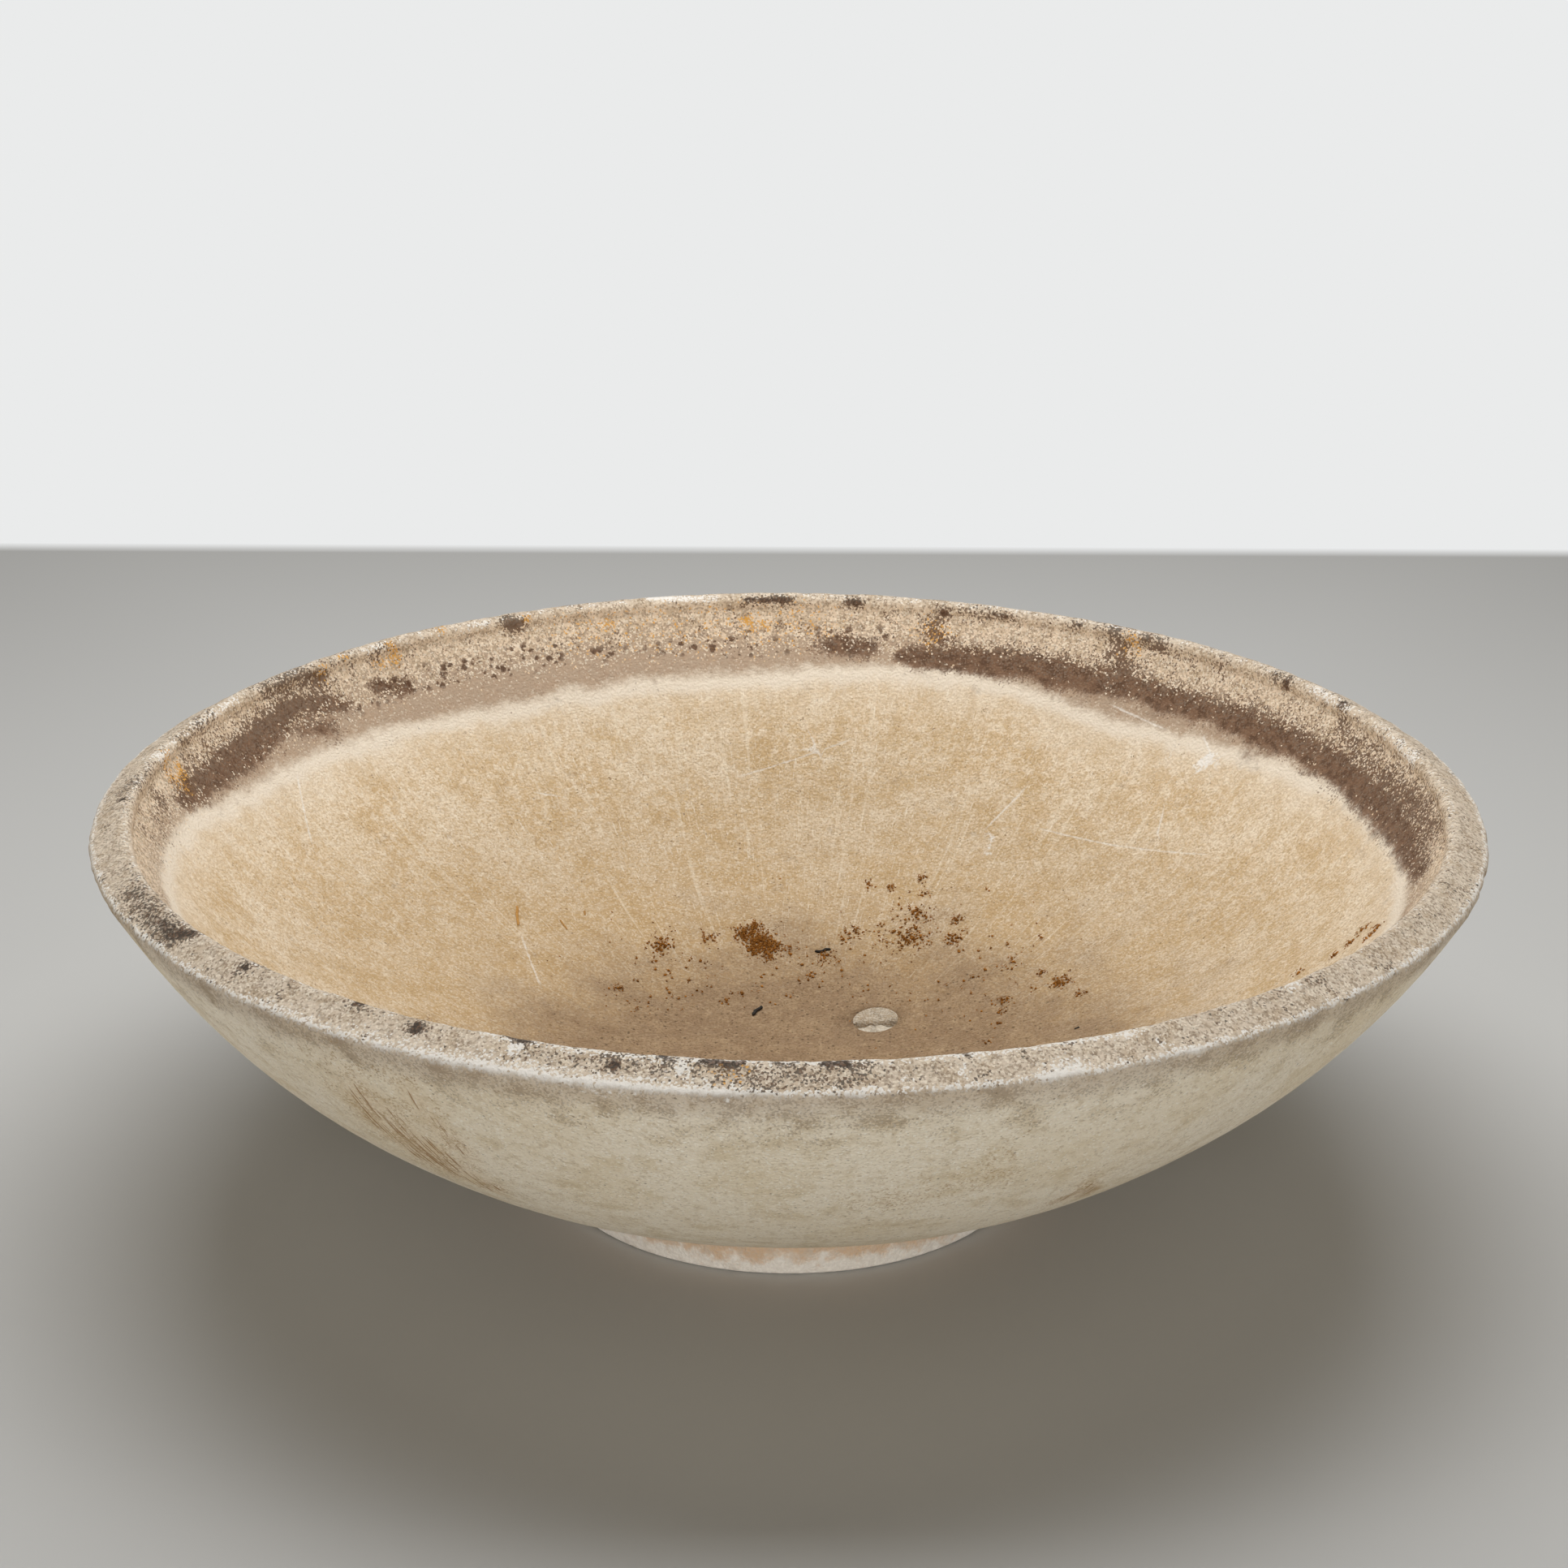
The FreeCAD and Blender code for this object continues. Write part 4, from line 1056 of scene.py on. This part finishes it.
class PLANTER_OT_bed(Operator):
    """Builds the mortar bed between bowl and foot, with its ragged squeezed edge"""

    bl_idname = "planter.bed"
    bl_label = "Mortar bed"

    def execute(self, context):
        shape = context.scene.planter_shape
        section = Section(shape)
        inner = shape.foot_radius - shape.foot_flare - shape.foot_width
        outer = shape.bed_radius
        reach = np.linspace(inner, outer, BED_ROWS)
        low = np.stack([reach, seat_height(section, reach)], axis=-1)
        high = np.stack([reach, section.under(reach)], axis=-1)[::-1]
        outer_edge = between(low[-1], high[0], BED_EDGE_ROWS)
        inner_edge = between(high[-1], low[0], BED_EDGE_ROWS)
        rows = np.concatenate([low, outer_edge, high, inner_edge])
        drawn = ring_grid(rows, shape.columns // 2)
        radius = np.hypot(drawn[..., 0], drawn[..., 1])
        edge = ease(radius, outer - 6 * MM, outer)
        ragged = 1.4 * cloud(drawn, 22 * MM, 21) + 0.7 * cloud(drawn, 7 * MM, 22)
        points = drawn.copy()
        points[..., :2] *= 1 + (MM * edge * ragged / radius)[..., None]
        faces = grid_faces(*drawn.shape[:2], True).tolist()
        finish = context.scene.planter_stone
        material = bedding_mortar(finish, "stained_bedding_mortar", finish.mortar, 0.8)
        piece = make_piece("mortar_joint", points, faces, material)
        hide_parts("mortar_bed")
        return {"FINISHED"}


# The plug's crack: how far its sides are heaved, how far along X and how far off it that shows, and its bends
CRACK_HEAVE, HEAVE_WIDTH, CRACK_REACH = 2 * MM, 8 * MM, 4 * MM
BEND_LENGTH, BEND_DEPTH = 5 * MM, MM


class PLANTER_OT_plug(Operator):
    """Builds the two pieces of mortar that fill the drain hole, either side of a crack"""

    bl_idname = "planter.plug"
    bl_label = "Drain plug"

    def execute(self, context):
        shape = context.scene.planter_shape
        section = Section(shape)
        finish = context.scene.planter_stone
        rear = bedding_mortar(finish, "plug_mortar", finish.mortar, 0.1)
        # The front piece's mortar is paler than the rear's: painted light against the shade it gets, sunk
        # under the floor
        front = bedding_mortar(finish, "broken_plug_mortar_painted_paler", linear("#DDD0BB"), 0.1)
        self.half(
            section, rear, "plug_rear", "drain_plug_rear", REAR_PLUG_BOX,
            rise=shape.plug_rise, heave=-CRACK_HEAVE, roughness=0.5,
        )
        self.half(
            section, front, "plug_front", "drain_plug_front", FRONT_PLUG_BOX,
            rise=-shape.plug_sink, heave=CRACK_HEAVE, roughness=1.4,
        )
        return {"FINISHED"}

    @staticmethod
    def half(section, material, name, node, box, rise, heave, roughness):
        """One side of the plug, as rings about its middle.

        The outline is the nearer of the hole's circle and the crack, as a distance from the middle at each
        bearing. Rings shrink the outline by a share. The crack is straight, then pushed to and fro by noise
        along X, alike on both sides. The top follows the floor, raised by rise and roughened, and at the
        crack it is also raised by heave, or sunk if that is negative, most in the middle.
        """
        shape = section.shape
        columns = 96
        low, high = np.array(box[0]), np.array(box[1])
        middle = (low[:2] + high[:2]) / 2
        across = bearings(columns)
        offset = middle - np.array([shape.hole_x, shape.hole_y])
        along = across @ offset
        circle = -along + np.sqrt(along**2 - offset @ offset + shape.hole_radius**2)
        crack = low[1] if offset[1] > 0 else high[1]
        toward = across[:, 1] * np.sign(crack - middle[1])
        straight = abs(crack - middle[1]) / np.maximum(toward, 1e-6)
        outline = np.minimum(circle, straight)
        top_share = np.array([1.0, 0.985, 0.95, 0.9, 0.82, 0.72, 0.6, 0.46, 0.3, 0.14])
        bottom_share = np.array([0.2, 0.6, 0.95])
        share = np.concatenate([bottom_share, [1.0, 1.0], top_share])
        plan = middle + share[:, None, None] * outline[None, :, None] * across
        aside = plan[..., :1] - shape.hole_x
        at_crack = np.exp(-(((plan[..., 1] - crack) / CRACK_REACH) ** 2))
        plan[..., 1] += BEND_DEPTH * at_crack * cloud(aside * np.array([1, 0, 0]), BEND_LENGTH, 33)
        reach = np.linalg.norm(plan, axis=-1)
        inward = np.exp(-((aside[..., 0] / HEAVE_WIDTH) ** 2))
        top = section.floor(reach) + rise + heave * at_crack * inward
        flat = np.dstack([plan, top])
        rough = cloud(flat, 6 * MM, 31) + 0.6 * cloud(flat, 2.5 * MM, 32)
        top = top + roughness * 0.5 * MM * rough
        height = np.full_like(top, low[2])
        height[len(bottom_share) + 1] = (low[2] + top[len(bottom_share) + 1]) / 2
        height[-len(top_share):] = top[-len(top_share):]
        rounded = ease(share[-len(top_share):], 0.9, 1.0)
        height[-len(top_share):] -= 0.9 * MM * rounded[:, None]
        rings = np.dstack([plan, height]).reshape(-1, 3)
        poles = np.array([[*middle, low[2]], [*middle, height[-1].mean()]])
        faces = capped_faces(len(share), columns)
        piece = make_piece(name, np.concatenate([rings, poles]), faces, material)
        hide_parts(node)


def local_frames(normals, rng):
    """A tangent at a random turn about each normal, and the direction square to both."""
    guess = rng.normal(size=normals.shape)
    tangent = np.cross(normals, guess)
    tangent = tangent / np.linalg.norm(tangent, axis=-1, keepdims=True)
    return tangent, np.cross(normals, tangent)


LUMP_ROWS, LUMP_COLUMNS = 3, 6


def lumps(places, normals, sizes, flatness, rng):
    """Many small lumps: balls of a few rings, their points pushed in and out, pressed flat along a normal.

    A point is place + size × radius × (stretch × tangent cos a sin p + side sin a sin p − flatness × normal
    cos p), with its radius and the lump's stretch drawn at random.
    """
    polar = (np.arange(LUMP_ROWS) + 1) * math.pi / (LUMP_ROWS + 1)
    angle = even_angles(LUMP_COLUMNS)
    ring = np.stack([
        np.outer(np.sin(polar), np.cos(angle)), np.outer(np.sin(polar), np.sin(angle)),
        np.repeat(-np.cos(polar)[:, None], LUMP_COLUMNS, axis=1),
    ], axis=-1).reshape(-1, 3)
    ball = np.concatenate([ring, [[0, 0, -1], [0, 0, 1]]])
    tangent, side = local_frames(normals, rng)
    radius = sizes[:, None] * rng.uniform(0.65, 1.3, (len(places), len(ball)))
    stretch = rng.uniform(0.7, 1.5, (len(places), 1, 1))
    shaped = (
        stretch * ball[:, :1] * tangent[:, None] + ball[:, 1:2] * side[:, None]
        + flatness * ball[:, 2:] * normals[:, None]
    )
    return places[:, None] + radius[..., None] * shaped


SHRED_ROWS, SHRED_COLUMNS = 4, 3


def shreds(places, normals, sizes, width, rng):
    """Many short curled strands, each a three-sided tube along a bent line that rises from its place.

    At share t, with s = t − ½, the line is place + size × (s tangent + bend s² side + lift 4t(1 − t) normal),
    and the tube narrows towards both ends as √(t(1 − t)).
    """
    tangent, side = local_frames(normals, rng)
    share = ((np.arange(SHRED_ROWS) + 0.5) / SHRED_ROWS)[None, :, None]
    bend = rng.uniform(-0.8, 0.8, (len(places), 1, 1))
    lift = rng.uniform(0.05, 0.35, (len(places), 1, 1))
    length = sizes[:, None, None]
    spine = places[:, None] + length * (
        (share - 0.5) * tangent[:, None] + bend * (share - 0.5) ** 2 * side[:, None]
        + lift * 4 * share * (1 - share) * normals[:, None]
    )
    angle = even_angles(SHRED_COLUMNS)
    around = np.cos(angle)[:, None] * side[:, None] + np.sin(angle)[:, None] * normals[:, None]
    narrow = width * np.sqrt(share * (1 - share)) * 2
    rings = spine[:, :, None] + narrow[..., None] * around[:, None]
    ends = places[:, None] + length * np.array([-0.5, 0.5])[None, :, None] * tangent[:, None]
    ends = ends + length * bend * 0.25 * side[:, None]
    return np.concatenate([rings.reshape(len(places), -1, 3), ends], axis=1)


def repeated_faces(faces, points_each, copies):
    """The faces of one shape, renumbered for each copy."""
    return [[index + copy * points_each for index in face] for copy in range(copies) for face in faces]


def scattered(section, view, rng):
    """Places of the moss, a normal scatter about each clump on the floor, with normals and closeness."""
    centres = seen(section, view, MOSS_PIXELS)
    counts = [mark[3] for mark in MOSS_PIXELS]
    spread = np.repeat([mark[2] * MM for mark in MOSS_PIXELS], counts)[:, None]
    middle = np.repeat(centres, counts, axis=0)[:, :2]
    stray = rng.normal(size=middle.shape)
    plan = middle + stray * spread * 0.75
    closeness = np.exp(-(stray**2).sum(axis=1) / 2)
    places = np.column_stack([plan, section.floor(np.hypot(plan[:, 0], plan[:, 1]))])
    normals = section.floor_normal(places)
    return places + normals * dents(places)[:, None], normals, closeness


class PLANTER_OT_moss(Operator):
    """Scatters crumbs and shreds of dried moss over the floor, in the clumps that the photograph shows"""

    bl_idname = "planter.moss"
    bl_label = "Dried moss"

    def execute(self, context):
        section = Section(context.scene.planter_shape)
        debris = context.scene.planter_debris
        rng = np.random.default_rng(7)
        places, normals, closeness = scattered(section, context.scene.planter_view, rng)
        count = len(places)
        # Its last colour is the painted highlight on the moss's raised fibres
        material = debris_material("dried_moss", debris.moss, debris.moss_dark, linear("#C98A3C"))
        sizes = rng.uniform(0.5, 1.3, count) * (0.6 + 0.7 * closeness) * MM
        crumbs = lumps(places + normals * sizes[:, None] * 0.3, normals, sizes, 0.7, rng)
        each = crumbs.shape[1]
        faces = repeated_faces(capped_faces(LUMP_ROWS, LUMP_COLUMNS), each, count)
        shade = np.repeat(rng.uniform(0, 1, count) ** 1.5, each)
        make_piece("moss_crumbs", crumbs, faces, material, shade=shade)
        sizes = rng.uniform(2, 6, count) * (0.4 + 0.8 * closeness) * MM
        lifted = places + normals * rng.uniform(0.2, 3.0, (count, 1)) * closeness[:, None] * MM
        strands = shreds(lifted, normals, sizes, 0.3 * MM, rng)
        each = strands.shape[1]
        faces = repeated_faces(capped_faces(SHRED_ROWS, SHRED_COLUMNS), each, count)
        shade = np.repeat(rng.uniform(0, 0.8, count), each)
        make_piece("moss_shreds", strands, faces, material, shade=shade)
        return {"FINISHED"}


class PLANTER_OT_bits(Operator):
    """Lays the twig bits and straw bits where the photograph shows them"""

    bl_idname = "planter.bits"
    bl_label = "Twig and straw bits"

    def execute(self, context):
        section = Section(context.scene.planter_shape)
        view = context.scene.planter_view
        debris = context.scene.planter_debris
        # The last colour of each is the painted highlight on the raised fibres
        charred = debris_material("charred_twig", debris.twig, linear("#171412"), linear("#4A443E"))
        straw = debris_material("straw", debris.straw, linear("#8F6230"), linear("#DDB778"))
        self.lay(section, view, "twig_bits", TWIG_PIXELS, 0.8, charred, 41)
        self.lay(section, view, "straw_bits", STRAW_PIXELS, 0.35, straw, 51)
        return {"FINISHED"}

    @staticmethod
    def lay(section, view, name, marks, flatness, material, seed):
        """Bits as tubes between two points of the floor, flattened towards it, blunt and lumpy.

        At share t the radius is half the thickness × (1 + noise), and less over the last tenth at both ends.
        """
        rows, columns = 14, 10
        starts = seen(section, view, [mark[0] for mark in marks])
        stops = seen(section, view, [mark[1] for mark in marks])
        thickness = np.array([mark[2] for mark in marks])[:, None, None] * MM
        share = np.linspace(0, 1, rows)[None, :, None]
        spine = starts[:, None] * (1 - share) + stops[:, None] * share
        normals = section.floor_normal((starts + stops) / 2)[:, None]
        line = (stops - starts)[:, None]
        side = np.cross(normals, line)
        side = side / np.linalg.norm(side, axis=-1, keepdims=True)
        blunt = np.sqrt(1 - np.clip(np.abs(share - 0.5) * 2 - 0.8, 0, 0.19) / 0.2)
        radius = thickness / 2 * blunt
        wander = side * thickness * 0.5 * cloud(spine, 6 * MM, seed)[..., None]
        spine = spine + normals * thickness / 2 * flatness + wander
        angle = even_angles(columns)
        around = np.cos(angle)[:, None] * side[:, None] + flatness * np.sin(angle)[:, None] * normals[:, None]
        rings = spine[:, :, None] + radius[..., None] * around
        lumpy = 1 + 0.3 * cloud(rings, 2 * MM, seed + 1)[..., None]
        rings = spine[:, :, None] + radius[..., None] * around * lumpy
        tubes = np.concatenate([rings.reshape(len(marks), -1, 3), spine[:, [0, -1]]], axis=1)
        faces = repeated_faces(capped_faces(rows, columns), tubes.shape[1], len(marks))
        shade = np.repeat(np.linspace(0.1, 0.6, len(marks)), tubes.shape[1])
        make_piece(name, tubes, faces, material, shade=shade)


# The studio: how far its floor reaches, where along Y it passes to the wall's white, and how the lamps hang
FLOOR_REACH = 30.0
WALL_START, WALL_FULL = 1.86, 1.9
SOFTBOX_SIZE = (2.6, 2.0)
SOFTBOX_PLACE = (0.0, 0.52, 2.6)
SOFTBOX_TILT = math.radians(-12)
FRONT_LAMP_TURNS = {"front_left": math.radians(-45), "front_right": math.radians(45)}
FRONT_LAMP_TILT = math.radians(84)
FRONT_LAMP_SPREAD = math.radians(11)


class PLANTER_OT_stage(Operator):
    """Lays the studio floor, hangs the lamps, sets the world's light and places the photograph's camera"""

    bl_idname = "planter.stage"
    bl_label = "Studio"

    def execute(self, context):
        scene, view = context.scene, context.scene.planter_view
        self.lay_floor(scene.planter_shape, view)
        self.light(scene, view)
        camera = bpy.data.cameras.new("photo_camera")
        camera.sensor_width = SENSOR_WIDTH
        camera.lens = SENSOR_WIDTH * view.focus / PHOTO_SIDE
        placed = bpy.data.objects.new("photo_camera", camera)
        placed.matrix_world = camera_matrix(view)
        scene.collection.objects.link(placed)
        scene.camera = placed
        scene.view_settings.view_transform = "Standard"
        return {"FINISHED"}

    @staticmethod
    def lay_floor(shape, view):
        """A flat ring about the axis, clear from below and open under the foot, to light its recess.

        Behind the photograph's wall line it has the wall's white.
        """
        rows, columns, drop = 12, 96, 0.3 * MM
        resting = shape.foot_radius - shape.foot_flare - shape.foot_round
        radius = np.geomspace(resting, FLOOR_REACH, rows)[::-1]
        points = ring_grid(np.column_stack([radius, np.full(rows, -drop)]), columns)
        mesh = bpy.data.meshes.new("studio_floor")
        mesh.from_pydata(points.reshape(-1, 3).tolist(), [], grid_faces(rows, columns, False).tolist())
        floor = bpy.data.objects.new("studio_floor", mesh)
        bpy.context.scene.collection.objects.link(floor)
        material, tree, shader, place = new_material("painted_studio_floor")
        far = add_node(tree, "SeparateXYZ", {0: place}, "Y")
        far = add_node(tree, "MapRange", {0: far, 1: WALL_START, 2: WALL_FULL})
        shader.inputs["Base Color"].default_value = view.ground
        shader.inputs["Roughness"].default_value = 0.9
        camera_ray = add_node(tree, "LightPath", output="Is Camera Ray")
        plain = add_node(tree, "Math", {0: far, 1: camera_ray}, operation="MULTIPLY")
        glow = add_node(tree, "Emission", {"Color": view.backdrop, "Strength": 1.0})
        lit = add_node(tree, "MixShader", {0: plain, 1: shader.outputs[0], 2: glow})
        below = add_node(tree, "NewGeometry", output="Backfacing")
        clear = add_node(tree, "BsdfTransparent")
        shown = add_node(tree, "MixShader", {0: below, 1: lit, 2: clear})
        tree.links.new(shown, tree.nodes["Material Output"].inputs["Surface"])
        mesh.materials.append(material)

    @staticmethod
    def light(scene, view):
        """A soft lamp overhead, a little behind; two low ones far in front; and an even fill all round."""
        lamp = bpy.data.lights.new("overhead_softbox", "AREA")
        lamp.shape = "RECTANGLE"
        lamp.size, lamp.size_y = SOFTBOX_SIZE
        lamp.energy = view.lamp_watts
        hung = bpy.data.objects.new("overhead_softbox", lamp)
        hung.location = SOFTBOX_PLACE
        hung.rotation_euler = (SOFTBOX_TILT, 0.0, 0.0)
        hung.visible_camera = False
        scene.collection.objects.link(hung)
        for name, turn in FRONT_LAMP_TURNS.items():
            lamp = bpy.data.lights.new(name, "SUN")
            lamp.energy = view.front_strength
            lamp.angle = FRONT_LAMP_SPREAD
            hung = bpy.data.objects.new(name, lamp)
            hung.rotation_euler = (FRONT_LAMP_TILT, 0.0, turn)
            scene.collection.objects.link(hung)
        world = bpy.data.worlds.new("studio")
        scene.world = world
        world.use_nodes = True
        tree = world.node_tree
        tree.nodes.clear()
        camera_ray = add_node(tree, "LightPath", output="Is Camera Ray")
        fill = add_node(tree, "Background", {"Color": view.fill_tint, "Strength": view.fill})
        shown = add_node(tree, "Background", {"Color": view.backdrop, "Strength": 1.0})
        mixed = add_node(tree, "MixShader", {0: camera_ray, 1: fill, 2: shown})
        out = tree.nodes.new("ShaderNodeOutputWorld")
        tree.links.new(mixed, out.inputs["Surface"])


OPERATORS = (
    PLANTER_OT_bowl, PLANTER_OT_foot, PLANTER_OT_bed, PLANTER_OT_plug, PLANTER_OT_moss, PLANTER_OT_bits,
    PLANTER_OT_stage,
)
GROUPS = {
    "planter_shape": PlanterShape, "planter_stone": StoneFinish, "planter_debris": DebrisFinish,
    "planter_view": PhotoView,
}


class PLANTER_PT_panel(Panel):
    """Lists the planter's pieces and its sizes and colours"""

    bl_label = "Stone bowl planter"
    bl_idname = "PLANTER_PT_panel"
    bl_space_type = "VIEW_3D"
    bl_region_type = "UI"
    bl_category = "Planter"

    def draw(self, context):
        for operator in OPERATORS:
            self.layout.operator(operator.bl_idname)
        for group, kind in GROUPS.items():
            box = self.layout.box()
            for key in kind.__annotations__:
                box.prop(getattr(context.scene, group), key)


def register():
    """Registers the classes and hangs the settings on the scene."""
    for kind in (*GROUPS.values(), *OPERATORS, PLANTER_PT_panel):
        bpy.utils.register_class(kind)
    for group, kind in GROUPS.items():
        setattr(bpy.types.Scene, group, PointerProperty(type=kind))


def unregister():
    """Takes the settings off the scene and the classes away."""
    for group in GROUPS:
        delattr(bpy.types.Scene, group)
    for kind in reversed((*GROUPS.values(), *OPERATORS, PLANTER_PT_panel)):
        bpy.utils.unregister_class(kind)


def main():
    """Builds every piece in order."""
    register()
    bpy.ops.planter.bowl()
    bpy.ops.planter.foot()
    bpy.ops.planter.bed()
    bpy.ops.planter.plug()
    bpy.ops.planter.moss()
    bpy.ops.planter.bits()
    bpy.ops.planter.stage()


if __name__ == "__main__":
    main()
